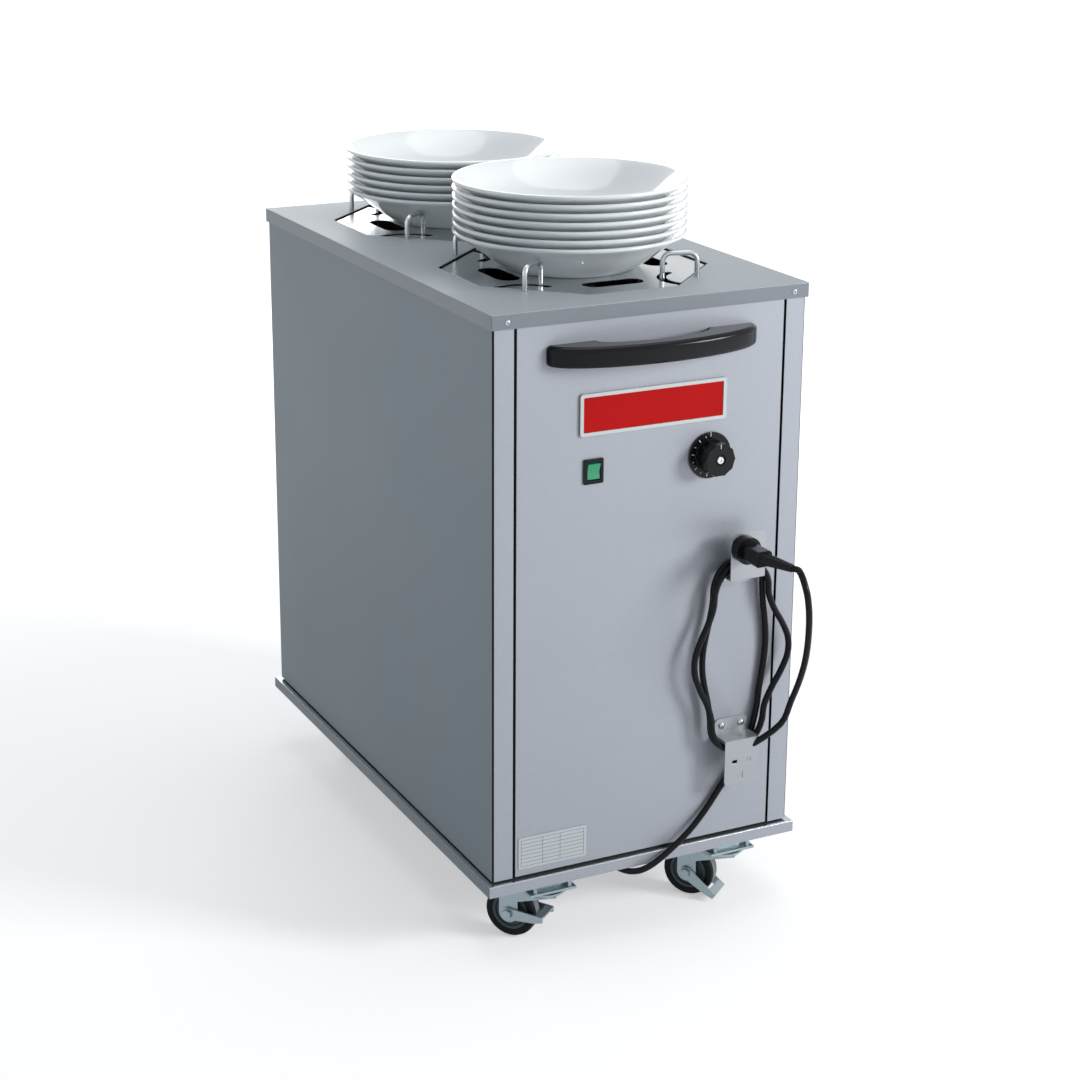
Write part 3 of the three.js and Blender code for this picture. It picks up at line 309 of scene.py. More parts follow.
# Near black painted shade for faces inside the casing, so that its seams read as shadow.
def inner_shade():
    return finish_of("painted shade inside the casing", (0.012, 0.013, 0.015), 0.6, shade=0.3, specular=0.1)


def zinc():
    return finish_of("zinc plate", colours().zinc, 0.34, 0.75, fineness=0.35, shade=0.2,
                     spread=0.2, bump=0.1, cloud_shade=0.3)


def spring_steel():
    return finish_of("spring steel", (0.3, 0.31, 0.32), 0.3, 1.0)


def black_plastic():
    return finish_of("black plastic", colours().black, 0.2, fineness=0.5, shade=0.2, bump=0.04,
                     specular=0.16)


def cord_rubber():
    return finish_of("cord rubber", (0.004, 0.005, 0.007), 0.3, fineness=0.6, shade=0.3,
                     spread=0.15, bump=0.1, specular=0.14)


def tyre_rubber():
    return finish_of("tyre rubber", (0.005, 0.006, 0.008), 0.5, fineness=0.4, shade=0.4,
                     spread=0.15, bump=0.15, specular=0.12)


def tread_rubber():
    return finish_of("worn tread", (0.16, 0.19, 0.21), 0.62, fineness=0.4, shade=0.35,
                     spread=0.15, bump=0.2, specular=0.3)


def hub_plastic():
    return finish_of("hub plastic", (0.05, 0.07, 0.085), 0.4, 0.1, fineness=0.5, shade=0.15,
                     specular=0.3)


def glazed_china():
    return finish_of("glazed china", colours().china, 0.12, fineness=0.05, shade=0.02,
                     spread=0.04, cloud_shade=0.03, coat=0.3)


def red_enamel():
    return finish_of("red enamel", colours().badge, 0.3, fineness=0.3, shade=0.12,
                     spread=0.08, cloud_shade=0.7, specular=0.08)


def green_lens():
    return finish_of("green lens", colours().rocker, 0.14, fineness=0.2, shade=0.15,
                     spread=0.05, cloud_shade=0.2, coat=0.2)


def white_print():
    return finish_of("white print", (0.7, 0.73, 0.75), 0.5, shade=0.05)


def label_paper():
    return finish_of("label foil", (0.50, 0.54, 0.57), 0.35, 0.2, shade=0.08, spread=0.08)


def label_ink():
    return finish_of("label ink", (0.10, 0.115, 0.13), 0.5)


# Near black painted shade that stands for the recess of a screw's slots.
def painted_recess_shade():
    return finish_of("screw recess painted shade", (0.03, 0.03, 0.035), 0.5, 0.4)


def dark_steel():
    return finish_of("heater sheath", (0.09, 0.085, 0.08), 0.5, 0.7, shade=0.3, spread=0.2)


def frame_steel():
    return finish_of("badge frame steel", (0.40, 0.42, 0.42), 0.26, 0.8)


# ---- making pieces

# Degrees: faces that turn by less are one flat, and edges that turn by less are broken only as
# part of a rim. Then the width of the bars of a screw's cross, painted dark as the shade of its
# recess, in millimetres.
FLAT = 0.5
BROKEN_FROM = 50
CROSS_WIDTH = 0.9


def new_object(name, data):
    """A new object in the scene."""
    made = bpy.data.objects.new(name, data)
    bpy.context.scene.collection.objects.link(made)
    return made


def only(kind, items):
    """The bmesh items of one kind."""
    return [item for item in items if isinstance(item, kind)]


def finish_piece(bm, name, body, materials, stands_for=(), sharp=35, even=True):
    """Turns a bmesh into a piece that rides on its body and replaces what it stands for."""
    for face in bm.faces:
        face.smooth = True
    for edge in bm.edges:
        edge.smooth = edge.is_manifold and edge.calc_face_angle(0) < math.radians(sharp)
    mesh = bpy.data.meshes.new(name)
    bm.to_mesh(mesh)
    bm.free()
    piece = new_object(name, mesh)
    for material in materials:
        mesh.materials.append(material)
    if even:
        shading = piece.modifiers.new("Even shading", "WEIGHTED_NORMAL")
        shading.keep_sharp = True
    if body:
        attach(piece, body)
    if stands_for:
        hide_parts(*stands_for)
    return piece


def merged_copy(node):
    """A CAD node's shape with its loose triangles joined and its flats made whole."""
    bm = bmesh.new()
    bm.from_mesh(NODES[node].data)
    bmesh.ops.remove_doubles(bm, verts=bm.verts, dist=SAME)
    bmesh.ops.dissolve_limit(bm, angle_limit=math.radians(FLAT), verts=bm.verts, edges=bm.edges)
    return bm


def bevel(bm, edges, width, segments):
    bmesh.ops.bevel(bm, geom=edges, offset=width, offset_type="OFFSET", affect="EDGES",
                    segments=segments, profile=0.5, material=-1, clamp_overlap=True)


def sharp_edges(bm, angle):
    """The edges whose two faces turn by more than an angle in degrees."""
    return [edge for edge in bm.edges
            if edge.is_manifold and edge.calc_face_angle(0) > math.radians(angle)]


def softened(node, width, material, rim=None, rim_width=0.0, paint=None, angle=40):
    """A CAD node with its sharp edges broken.

    rim picks the edges that are rounded more, and paint picks a material for each face.
    """
    bm = merged_copy(node)
    if rim:
        bevel(bm, [edge for edge in sharp_edges(bm, angle) if rim(edge)], rim_width, 3)
    if width:
        bevel(bm, sharp_edges(bm, max(angle, BROKEN_FROM)), width, 1)
    materials = [material]
    if paint:
        materials += paint["materials"]
        for face in bm.faces:
            face.material_index = paint["pick"](face)
    return finish_piece(bm, node + "_finished", NODES[node]["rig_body"], materials, [node])


def turned_shape(profile, segments, centre=(0, 0, 0), axis=(0, 0, 1)):
    """A bmesh turned from [radius, height] points in metres about an axis."""
    bm = bmesh.new()
    verts = [bm.verts.new((radius, 0, height)) for radius, height in profile]
    edges = [bm.edges.new(pair) for pair in zip(verts, verts[1:])]
    bmesh.ops.spin(bm, geom=verts + edges, cent=(0, 0, 0), axis=(0, 0, 1), angle=math.tau,
                   steps=segments, use_merge=True)
    bmesh.ops.remove_doubles(bm, verts=bm.verts, dist=1e-6)
    bmesh.ops.recalc_face_normals(bm, faces=bm.faces)
    bmesh.ops.transform(bm, verts=bm.verts, matrix=Matrix.Translation(centre) @ turned_to(axis))
    return bm


def add_to(bm, other):
    """Puts another bmesh into this one."""
    carrier = bpy.data.meshes.new("carrier")
    other.to_mesh(carrier)
    other.free()
    bm.from_mesh(carrier)
    bpy.data.meshes.remove(carrier)


def rod(points, radius, sides=16):
    """A round rod along points: each ring is the last one extruded, moved and turned."""
    bm = bmesh.new()
    stretches = [(b - a).normalized() for a, b in zip(points, points[1:])]
    stretches.append(stretches[-1])
    start = Matrix.Translation(points[0]) @ turned_to(stretches[0])
    ring = bmesh.ops.create_circle(bm, cap_ends=False, segments=sides, radius=radius, matrix=start)
    edges = list({edge for vert in ring["verts"] for edge in vert.link_edges})
    bmesh.ops.edgeloop_fill(bm, edges=edges)
    heading = stretches[0]
    for index in range(1, len(points)):
        made = bmesh.ops.extrude_edge_only(bm, edges=edges)["geom"]
        verts = only(bmesh.types.BMVert, made)
        bmesh.ops.translate(bm, verts=verts, vec=points[index] - points[index - 1])
        bisector = (stretches[index - 1] + stretches[index]).normalized()
        bmesh.ops.rotate(bm, verts=verts, cent=points[index],
                         matrix=heading.rotation_difference(bisector).to_matrix())
        heading = bisector
        fresh = set(verts)
        edges = [edge for edge in only(bmesh.types.BMEdge, made)
                 if edge.verts[0] in fresh and edge.verts[1] in fresh]
    bmesh.ops.edgeloop_fill(bm, edges=edges)
    bmesh.ops.recalc_face_normals(bm, faces=bm.faces)
    return bm


def bent(corners, radius, steps=8):
    """Points along a line whose inner corners are rounded."""
    points = [corners[0]]
    for before, corner, after in zip(corners, corners[1:], corners[2:]):
        back = (before - corner).normalized()
        ahead = (after - corner).normalized()
        half = back.angle(ahead) / 2
        centre = corner + (back + ahead).normalized() * (radius / math.sin(half))
        first = (corner + back * (radius / math.tan(half)) - centre).normalized()
        last = (corner + ahead * (radius / math.tan(half)) - centre).normalized()
        for step in range(steps + 1):
            points.append(centre + first.slerp(last, step / steps) * radius)
    points.append(corners[-1])
    return points


def screw(centre, axis, radius, height):
    """A domed screw head, its base at centre, with a cross of a second material on top, which is
    painted near black as the shade of the screw's recessed slots.
    """
    bm = turned_shape([(radius, 0), (radius, height * 0.35), (radius * 0.82, height * 0.75),
                       (radius * 0.45, height), (0, height)], 20)
    head_faces = len(bm.faces)
    width = mm(CROSS_WIDTH)
    for bar in ((radius, width, height * 0.1, 1), (width, radius, height * 0.1, 1)):
        bmesh.ops.create_cube(bm, size=1, matrix=Matrix.Translation((0, 0, height * 0.99))
                              @ Matrix.Diagonal(bar))
    # The cross is painted near black: painted shade standing for the screw's recessed slots.
    for face in bm.faces[head_faces:]:
        face.material_index = 1
    bmesh.ops.transform(bm, verts=bm.verts, matrix=Matrix.Translation(centre) @ turned_to(axis))
    return bm


# ---- settings

def length_setting(name, description, default, least):
    return FloatProperty(name=name, description=description, default=default, min=least,
                         unit="LENGTH", subtype="DISTANCE")


class CartSizes(bpy.types.PropertyGroup):
    """Sizes that a user would change."""

    front_plates: IntProperty(
        name="Front plates", description="Plates in the front stack", default=7, min=1)
    rear_plates: IntProperty(
        name="Rear plates", description="Plates in the rear stack", default=6, min=1)
    plate_pitch: length_setting("Plate pitch", "Height that each nested plate adds", 0.0118, 0.008)
    guide_rod: length_setting("Guide rod", "Diameter of a plate guide's rod", 0.007, 0.004)
    cord: length_setting("Cord", "Diameter of the mains cord", 0.009, 0.005)
    edge: length_setting("Cover edge", "Radius of the cover's upper edge", 0.0013, 0.0002)


def colour_setting(name, description, default):
    return FloatVectorProperty(name=name, description=description, default=default, size=3,
                               min=0, max=1, subtype="COLOR")


class CartColours(bpy.types.PropertyGroup):
    """Colours that a user would change."""

    panel: colour_setting("Front steel", "Front and rear panels", (0.36, 0.385, 0.435))
    # The side steel is the front steel made darker: painted shade on faces turned to the sides.
    side: colour_setting("Side steel", "Side panels", (0.14, 0.178, 0.205))
    cover: colour_setting("Cover steel", "Top cover", (0.36, 0.40, 0.43))
    # Bright steel also paints a highlight on the base tray's deck.
    bright: colour_setting("Bright steel", "Platforms and guides", (0.50, 0.53, 0.55))
    hook: colour_setting("Hook steel", "Cord hooks", (0.36, 0.38, 0.41))
    zinc: colour_setting("Zinc", "Casters and lift mechanism", (0.34, 0.42, 0.45))
    black: colour_setting("Black", "Handle, dial, switch and plug", (0.005, 0.006, 0.008))
    china: colour_setting("China", "Plates", (0.80, 0.84, 0.86))
    badge: colour_setting("Badge", "Enamel of the badge", (0.50, 0.006, 0.007))
    rocker: colour_setting("Rocker", "Lens of the switch", (0.005, 0.30, 0.13))


# ---- stage

# The camera that fits the photo: its place in millimetres; yaw, pitch and roll in degrees.
CAMERA_PLACE = (-1415.6, -2899.2, 1538.6)
CAMERA_TURNS = (26.175, 16.432, 0.225)
CAMERA_LENS = 75.56
CAMERA_SHIFT = (0.0170, -0.0833)

# Half the floor's side in metres, and its glow, which grows over a range of distances.
FLOOR_REACH = 30
FLOOR_GLOW = {"From Min": 1.0, "From Max": 4.0, "To Min": 0.42, "To Max": 0.9}
SKY_STRENGTH = 0.33

# Each lamp's name, place, target, width and height in metres, watts and colour.
LAMPS = (
    ("key", (2.5, -2.7, 1.7), (0, -0.4, 0.5), (1.0, 1.0), 104, (1, 0.99, 0.98)),
    ("top", (0.2, 0.1, 3.4), (0, 0, 0.9), (2.2, 2.2), 26, (1, 1, 1)),
    ("left", (-3.2, 0.4, 1.6), (0, 0, 0.5), (1.6, 2.2), 12, (0.9, 0.96, 1)),
    ("rear", (0.8, 3.4, 1.6), (0, 0, 0.6), (2.0, 2.0), 40, (1, 1, 1)),
)


def white_backdrop():
    """Floor: plain grey to the light. To the camera and in reflections it also glows,
    more with distance, so that it reads white."""
    material, tree, surface = new_material("studio floor", {
        "Base Color": (0.72, 0.73, 0.74, 1), "Roughness": 0.9, "Specular IOR Level": 0.0})
    link = tree.links.new
    place = add_node(tree, "TexCoord")
    away = add_node(tree, "VectorMath", "LENGTH")
    level = add_node(tree, "MapRange", values=FLOOR_GLOW)
    glow = add_node(tree, "Emission")
    both = add_node(tree, "AddShader")
    link(place.outputs["Object"], away.inputs[0])
    link(away.outputs["Value"], level.inputs["Value"])
    link(level.outputs["Result"], glow.inputs["Strength"])
    link(surface.outputs[0], both.inputs[0])
    link(glow.outputs[0], both.inputs[1])
    split_by_ray(tree, surface, both, ("Camera", "Glossy"), "Material Output")
    return material


def studio_world():
    """A pale sky that the camera, reflections and clear materials see as white."""
    world = bpy.data.worlds.new("studio")
    bpy.context.scene.world = world
    world.use_nodes = True
    tree = world.node_tree
    light = tree.nodes["Background"]
    set_inputs(light, {"Color": (0.93, 0.96, 1.0, 1), "Strength": SKY_STRENGTH})
    white = add_node(tree, "Background", values={"Color": (1, 1, 1, 1), "Strength": 1.0})
    split_by_ray(tree, light, white, ("Camera", "Glossy", "Transmission"), "World Output")


def soft_lamp(name, place, target, size, power, colour):
    """An area lamp that faces its target."""
    data = bpy.data.lights.new(name, "AREA")
    data.shape = "RECTANGLE"
    data.size, data.size_y = size
    data.energy = power
    data.color = colour
    lamp = new_object(name, data)
    lamp.location = place
    lamp.rotation_mode = "QUATERNION"
    lamp.rotation_quaternion = (Vector(target) - Vector(place)).to_track_quat("-Z", "Y")


def photo_camera():
    """The camera that fits the photo."""
    data = bpy.data.cameras.new("camera")
    data.sensor_fit = "HORIZONTAL"
    data.sensor_width = 36
    data.lens = CAMERA_LENS
    data.shift_x, data.shift_y = CAMERA_SHIFT
    camera = new_object("camera", data)
    yaw, pitch, roll = map(math.radians, CAMERA_TURNS)
    ahead = Vector((math.sin(yaw) * math.cos(pitch), math.cos(yaw) * math.cos(pitch),
                    -math.sin(pitch)))
    level = ahead.cross(Vector((0, 0, 1))).normalized()
    upright = level.cross(ahead)
    right = math.cos(roll) * level + math.sin(roll) * upright
    up = -math.sin(roll) * level + math.cos(roll) * upright
    turn = Matrix((right, up, -ahead)).transposed()
    camera.rotation_mode = "QUATERNION"
    camera.rotation_quaternion = turn.to_quaternion()
    camera.location = at(*CAMERA_PLACE)
    bpy.context.scene.camera = camera


class CART_OT_stage(bpy.types.Operator):
    """Floor, world, soft lamps and the camera"""

    bl_idname = "cart.stage"
    bl_label = "Stage"

    def execute(self, context):
        bm = bmesh.new()
        bmesh.ops.create_grid(bm, x_segments=1, y_segments=1, size=FLOOR_REACH)
        floor = finish_piece(bm, "studio_floor", None, [white_backdrop()], even=False)
        studio_world()
        for lamp in LAMPS:
            soft_lamp(*lamp)
        photo_camera()
        context.scene.view_settings.view_transform = "Standard"
        return {"FINISHED"}


# ---- casing

# Millimetres: the foot bosses' height above the deck, how far the sheets' edges are broken, how
# near its outline the cover's rim lies, how deep a panel's inner faces begin, which are painted
# as shade, and the cover's screws with their heads' radius and height.
BOSS_HEIGHT = 12
SHEET_BREAK = 0.25
COVER_RIM_WIDTH = 1.6
SEAM_DEPTH = 0.2
COVER_SCREW_INSET = 23
COVER_SCREW_DROP = 11
COVER_SCREW_HEAD = (3.6, 1.8)


def rim_of(box, height, margin):
    """A test for the edges at one height that lie within a margin of a box's upright sides."""
    low, high = box

    def on_rim(edge):
        return all(
            abs(vert.co.z - height) < SAME
            and min(vert.co.x - low.x, high.x - vert.co.x,
                    vert.co.y - low.y, high.y - vert.co.y) < margin
            for vert in edge.verts)

    return on_rim


class CART_OT_casing(bpy.types.Operator):
    """Base tray, panels and the perforated top cover"""

    bl_idname = "cart.casing"
    bl_label = "Casing"

    def execute(self, context):
        deck = max(vert.co.z for vert in NODES["base_tray"].data.vertices) - mm(BOSS_HEIGHT)

        def tray_painted_light(face):
            """Painted shade: the darker side steel on faces turned to either side. Painted highlight:
            bright steel on the deck, which lies in the side panels' shade.
            """
            if abs(face.normal.x) > 0.7:
                return 1
            on_deck = abs(face.calc_center_median().z - deck) < mm(2)
            return 2 if face.normal.z > 0.3 and on_deck else 0

        def cover_painted_shade(face):
            """Painted shade: the darker rim steel on every upright face, below the lighter top."""
            return 1 if abs(face.normal.z) < 0.3 else 0

        tray_rim = rim_of(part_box("base_tray"), deck, SAME)
        cover_rim = rim_of((COVER_LOW, COVER_HIGH), COVER_TOP, mm(COVER_RIM_WIDTH))
        softened("base_tray", mm(SHEET_BREAK), panel_steel(), tray_rim, sizes().edge,
                 {"materials": [shaded_side_steel(), bright_steel()], "pick": tray_painted_light})
        softened("top_cover", mm(SHEET_BREAK), cover_steel(), cover_rim, sizes().edge,
                 {"materials": [shaded_rim_steel()], "pick": cover_painted_shade})
        # The side panels take the darker steel, which paints the shade on the sides.
        for side in ("left", "right"):
            self.panel(f"{side}_side_panel", shaded_side_steel())
        for end in ("front", "rear"):
            self.panel(f"{end}_panel", panel_steel())
        return {"FINISHED"}

    @staticmethod
    def panel(node, steel):
        """A panel whose inner faces are painted near black as painted shade, so that the seams beside
        it read as shadow, and whose faces turned to the front or the rear have the front panel's
        steel, not the side steel's painted shade."""
        half_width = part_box("right_side_panel")[1].x
        half_depth = abs(FRONT_Y - MIDDLE_Y)

        def panel_painted_shade(face):
            centre = face.calc_center_median()
            depth = min(half_width - abs(centre.x), half_depth - abs(centre.y - MIDDLE_Y))
            # Faces this deep inside are painted black: painted shade in the seams.
            if depth > mm(SEAM_DEPTH):
                return 1
            return 2 if abs(face.normal.y) > 0.7 else 0

        softened(node, mm(SHEET_BREAK), steel,
                 paint={"materials": [inner_shade(), panel_steel()], "pick": panel_painted_shade})


class CART_OT_cover_screws(bpy.types.Operator):
    """Screws in the skirt of the top cover"""

    bl_idname = "cart.cover_screws"
    bl_label = "Cover screws"

    def execute(self, context):
        height = COVER_TOP - mm(COVER_SCREW_DROP)
        radius, rise = map(mm, COVER_SCREW_HEAD)
        bm = bmesh.new()
        for side in (-1, 1):
            x = side * (COVER_HIGH.x - mm(COVER_SCREW_INSET))
            for y, outward in ((COVER_LOW.y, -1), (COVER_HIGH.y, 1)):
                add_to(bm, screw((x, y, height), (0, outward, 0), radius, rise))
        finish_piece(bm, "cover_screws", "cabinet", [bright_steel(), painted_recess_shade()])
        return {"FINISHED"}


# ---- front fittings

# Millimetres: the handle's feet reach this far in from its ends, and its grip is this deep.
HANDLE_FOOT = 75
HANDLE_DEPTH = 29
HANDLE_ROUNDING = 10
HANDLE_STEPS = 96


class CART_OT_handle(bpy.types.Operator):
    """Bowed push handle with well rounded edges"""

    bl_idname = "cart.handle"
    bl_label = "Push handle"

    def execute(self, context):
        low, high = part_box("push_handle")
        back = high.y
        reach = high.y - low.y
        half = (high.x - low.x) / 2
        start = Matrix.Translation(((low.x + high.x) / 2, back, low.z))
        bm = bmesh.new()
        # The front halves of two ellipses bound the bow and the finger gap behind it.
        for span, depth in ((half, reach), (half - mm(HANDLE_FOOT), reach - mm(HANDLE_DEPTH))):
            bmesh.ops.create_circle(bm, cap_ends=False, segments=HANDLE_STEPS, radius=1,
                                    matrix=start @ Matrix.Diagonal((span, depth, 1, 1)))
        bmesh.ops.bisect_plane(bm, geom=bm.verts[:] + bm.edges[:], dist=1e-6,
                               plane_co=(0, back, 0), plane_no=(0, 1, 0), clear_outer=True)
        ends = sorted((vert for vert in bm.verts if abs(vert.co.y - back) < SAME),
                      key=lambda vert: vert.co.x)
        bm.edges.new((ends[0], ends[1]))
        bm.edges.new((ends[2], ends[3]))
        face = bmesh.ops.contextual_create(bm, geom=bm.edges[:])["faces"][0]
        grown = bmesh.ops.extrude_face_region(bm, geom=[face])["geom"]
        bmesh.ops.translate(bm, vec=(0, 0, high.z - low.z),
                            verts=only(bmesh.types.BMVert, grown))
        bmesh.ops.recalc_face_normals(bm, faces=bm.faces)
        long_edges = [edge for edge in sharp_edges(bm, 60)
                      if any(abs(vert.co.y - back) > SAME for vert in edge.verts)
                      and abs(edge.verts[0].co.z - edge.verts[1].co.z) < SAME]
        bevel(bm, long_edges, mm(HANDLE_ROUNDING), 7)
        finish_piece(bm, "push_handle_finished", "cabinet", [black_plastic()],
                     ["push_handle"], sharp=50)
        return {"FINISHED"}


# Millimetres. The rating plate's upright lines stand at shares of its ruled width.
BADGE_RECESS = 0.8
LABEL_MARGIN = 4
LABEL_ROWS = 7
LABEL_COLUMNS = (0, 0.34, 0.62, 1)
LABEL_LINE = 0.5
LABEL_LINE_DEPTH = 0.1


class CART_OT_badge(bpy.types.Operator):
    """Bare red badge in a steel frame, and the rating plate with ruled lines"""

    bl_idname = "cart.badge"
    bl_label = "Badge and rating plate"

    def execute(self, context):
        badge_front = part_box("badge_plate")[0].y

        def badge_finish(face):
            """Enamel on what faces forward behind the frame."""
            recessed = face.calc_center_median().y > badge_front + mm(BADGE_RECESS)
            return 1 if recessed and face.normal.y < -0.9 else 0

        softened("badge_plate", mm(0.35), frame_steel(),
                 paint={"materials": [red_enamel()], "pick": badge_finish})
        softened("rating_plate", mm(0.15), label_paper())
        low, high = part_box("rating_plate")
        depth = mm(LABEL_LINE_DEPTH)
        front = low.y - depth / 2
        half = mm(LABEL_LINE) / 2
        left, right = low.x + mm(LABEL_MARGIN), high.x - mm(LABEL_MARGIN)
        bottom, top = low.z + mm(LABEL_MARGIN), high.z - mm(LABEL_MARGIN)
        bm = bmesh.new()

        def line(x0, x1, z0, z1):
            place = Matrix.Translation(((x0 + x1) / 2, front, (z0 + z1) / 2))
            bmesh.ops.create_cube(bm, size=1,
                                  matrix=place @ Matrix.Diagonal((x1 - x0, depth, z1 - z0, 1)))

        for row in range(LABEL_ROWS + 1):
            z = bottom + (top - bottom) * row / LABEL_ROWS
            line(left, right, z - half, z + half)
        for share in LABEL_COLUMNS:
            x = left + (right - left) * share
            line(x - half, x + half, bottom, top)
        finish_piece(bm, "rating_plate_lines", "cabinet", [label_ink()], even=False)
        return {"FINISHED"}


class CART_OT_switch(bpy.types.Operator):
    """Rocker switch with its green lens"""

    bl_idname = "cart.switch"
    bl_label = "Switch"

    def execute(self, context):
        softened("switch_bezel", mm(0.4), black_plastic())
        softened("switch_rocker", mm(0.4), green_lens())
        return {"FINISHED"}


# Millimetres and degrees, anticlockwise from the right. The marks of the scale are long and
# short by turns. Outlines are [radius, height].
KNOB_SKIRT = 3
SCALE_MARKS = 8
SCALE_START = -100
SCALE_STEP = -22
SCALE_RADIUS = 27.2
SCALE_LENGTHS = (4.2, 2.4)
INDEX_RADII = (29, 19)
INDEX_LENGTH = 6
KNOB_SCREW_DEPTH = 2
KNOB_BUSH = ((1.7, 0), (1.7, 2.4), (4.4, 2.4), (5, 1.6), (5, 0), (1.7, 0))
KNOB_SCREW = ((0, 0), (1.6, 0), (1.6, 1.4), (0, 1.6))


class CART_OT_thermostat(bpy.types.Operator):
    """Thermostat knob with its scale, index lines and centre screw"""

    bl_idname = "cart.thermostat"
    bl_label = "Thermostat"

    def execute(self, context):
        softened("thermostat_knob", mm(0.7), black_plastic())
        low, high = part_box("thermostat_knob")
        centre = (low + high) / 2
        skirt_face = high.y - mm(KNOB_SKIRT)
        bm = bmesh.new()
        for step in range(SCALE_MARKS):
            self.tick(bm, centre, skirt_face, SCALE_START + SCALE_STEP * step, SCALE_RADIUS,
                      SCALE_LENGTHS[step % 2])
        for face, radius in zip((skirt_face, low.y), INDEX_RADII):
            self.tick(bm, centre, face, 90, radius, INDEX_LENGTH)
        finish_piece(bm, "thermostat_scale", "knob", [white_print()], even=False)
        screw_place = (centre.x, low.y + mm(KNOB_SCREW_DEPTH), centre.z)
        bush, core = ([(mm(radius), mm(height)) for radius, height in outline]
                      for outline in (KNOB_BUSH, KNOB_SCREW))
        fastening = turned_shape(bush, 24, screw_place, (0, -1, 0))
        add_to(fastening, turned_shape(core, 16, screw_place, (0, -1, 0)))
        finish_piece(fastening, "thermostat_knob_screw", "knob", [bright_steel()])
        softened("thermostat_body", 0, zinc())
        return {"FINISHED"}

    @staticmethod
    def tick(bm, centre, face, degrees, radius, length):
        """A printed line that points at the knob's axis; radius and length in millimetres."""
        place = (Matrix.Translation((centre.x, face, centre.z))
                 @ Matrix.Rotation(-math.radians(degrees), 4, "Y")
                 @ Matrix.Translation((mm(radius), 0, 0)))
        size = (mm(length), mm(0.3), mm(1.0), 1)
        bmesh.ops.create_cube(bm, size=1, matrix=place @ Matrix.Diagonal(size))


# Millimetres: the screws stand this far above the upper hook's low end, or below the lower
# hook's high end, this far either side of the middle and this far in front of the panel.
HOOK_SCREW_RISES = {"upper_cord_hook": 9, "lower_cord_hook": -10.5}
HOOK_SCREW_SPREAD = 15.5
HOOK_SCREW_SEAT = 1.5
HOOK_SCREW_HEAD = (4.8, 2.8)


class CART_OT_hooks(bpy.types.Operator):
    """Cord hooks and the screws that hold them"""

    bl_idname = "cart.hooks"
    bl_label = "Cord hooks"

    def execute(self, context):
        radius, thickness = map(mm, HOOK_SCREW_HEAD)
        for name, rise in HOOK_SCREW_RISES.items():
            softened(name, mm(0.3), hook_steel())
            low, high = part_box(name)
            height = (low.z if rise > 0 else high.z) + mm(rise)
            bm = bmesh.new()
            for side in (-1, 1):
                x = (low.x + high.x) / 2 + side * mm(HOOK_SCREW_SPREAD)
                place = (x, high.y - mm(HOOK_SCREW_SEAT), height)
                add_to(bm, screw(place, (0, -1, 0), radius, thickness))
            finish_piece(bm, name + "_screws", "cabinet",
                         [bright_steel(), painted_recess_shade()])
        return {"FINISHED"}


# ---- cord

# Millimetres: the middle and the arms of the hooks, then the radii, bulges and depths of the
# turns round them. All places and depths are as `at` takes them.
HOOK_X = 135
UPPER_ARM = 507
LOWER_ARM = 269
HOOK_HALF = 27
WOUND_TURNS = 2
WOUND_START, WOUND_END, WOUND_STEP = 0.02, 1.925, 1 / 32
WOUND_RADII = (38, 46)
WOUND_BULGE = 6
WOUND_GROWTH = {"right": 56, "left": 29}
WOUND_DEPTHS = (-412.1, -433.0)
WOUND_CLEAR = 4.8
BEND_STEPS = 6
ROUTE_STEPS = 4


def wound_point(turns):
    """The cord's centre line round both hooks; radius, bulge and depth grow steadily."""
    share = turns / WOUND_TURNS
    radius, y = (first + (last - first) * share for first, last in (WOUND_RADII, WOUND_DEPTHS))
    chord = radius * math.cos(math.pi / BEND_STEPS / 2)
    drop = math.sqrt((chord - WOUND_CLEAR) ** 2 - HOOK_HALF ** 2)
    top = UPPER_ARM - drop
    bottom = LOWER_ARM + drop
    quarter = int(turns * 4 + 1e-9)
    along = turns * 4 - quarter
    part = quarter % 4
    growth = WOUND_GROWTH["right" if part == 0 else "left"]
    side = math.sin(math.pi * along) ** 2 * (WOUND_BULGE + growth * share)
    if part == 0:
        return at(HOOK_X + radius + side, y, bottom + (top - bottom) * along)
    if part == 2:
        return at(HOOK_X - radius - side, y, top + (bottom - top) * along)
    angle = math.pi * (along if part == 1 else 1 + along)
    return at(HOOK_X + radius * math.cos(angle), y,
              (top if part == 1 else bottom) + radius * math.sin(angle))


# Places that the cord passes between the gland and the hooks, then between them and the plug.
LEAD_ROUTE = (
    (-47, -383, 98.5), (-36, -400, 94.4), (-26, -413, 92.9), (-14, -421, 94.6), (0, -423.8, 99.2),
    (14, -423.6, 105.4), (30, -422.4, 114), (47, -420.4, 124), (68, -417.6, 138), (94, -414.4, 162),
    (117, -412.7, 190), (135, -412.3, 212), (149, -412.2, 231), (161, -412.1, 252),
)
TAIL_ROUTE = (
    (184, -459, 292), (188.5, -476, 332), (187.5, -497, 372), (181, -519, 414), (169, -541, 466),
    (160, -551.5, 500), (154.5, -552.5, 523),
)
# The gland and the plug's sleeve: root, heading and length. The cord is straight at both.
GLAND = (-72, -340, 103)
GLAND_HEADING = Vector((0.555, -0.832, 0)).normalized()
GLAND_REACH = 13.3
RELIEF_ROOT = (126, -482.1, 551)
RELIEF_HEADING = Vector((0.47, -0.87, -0.11)).normalized()
RELIEF_REACH = 50.3
STRAIGHT_END = 9


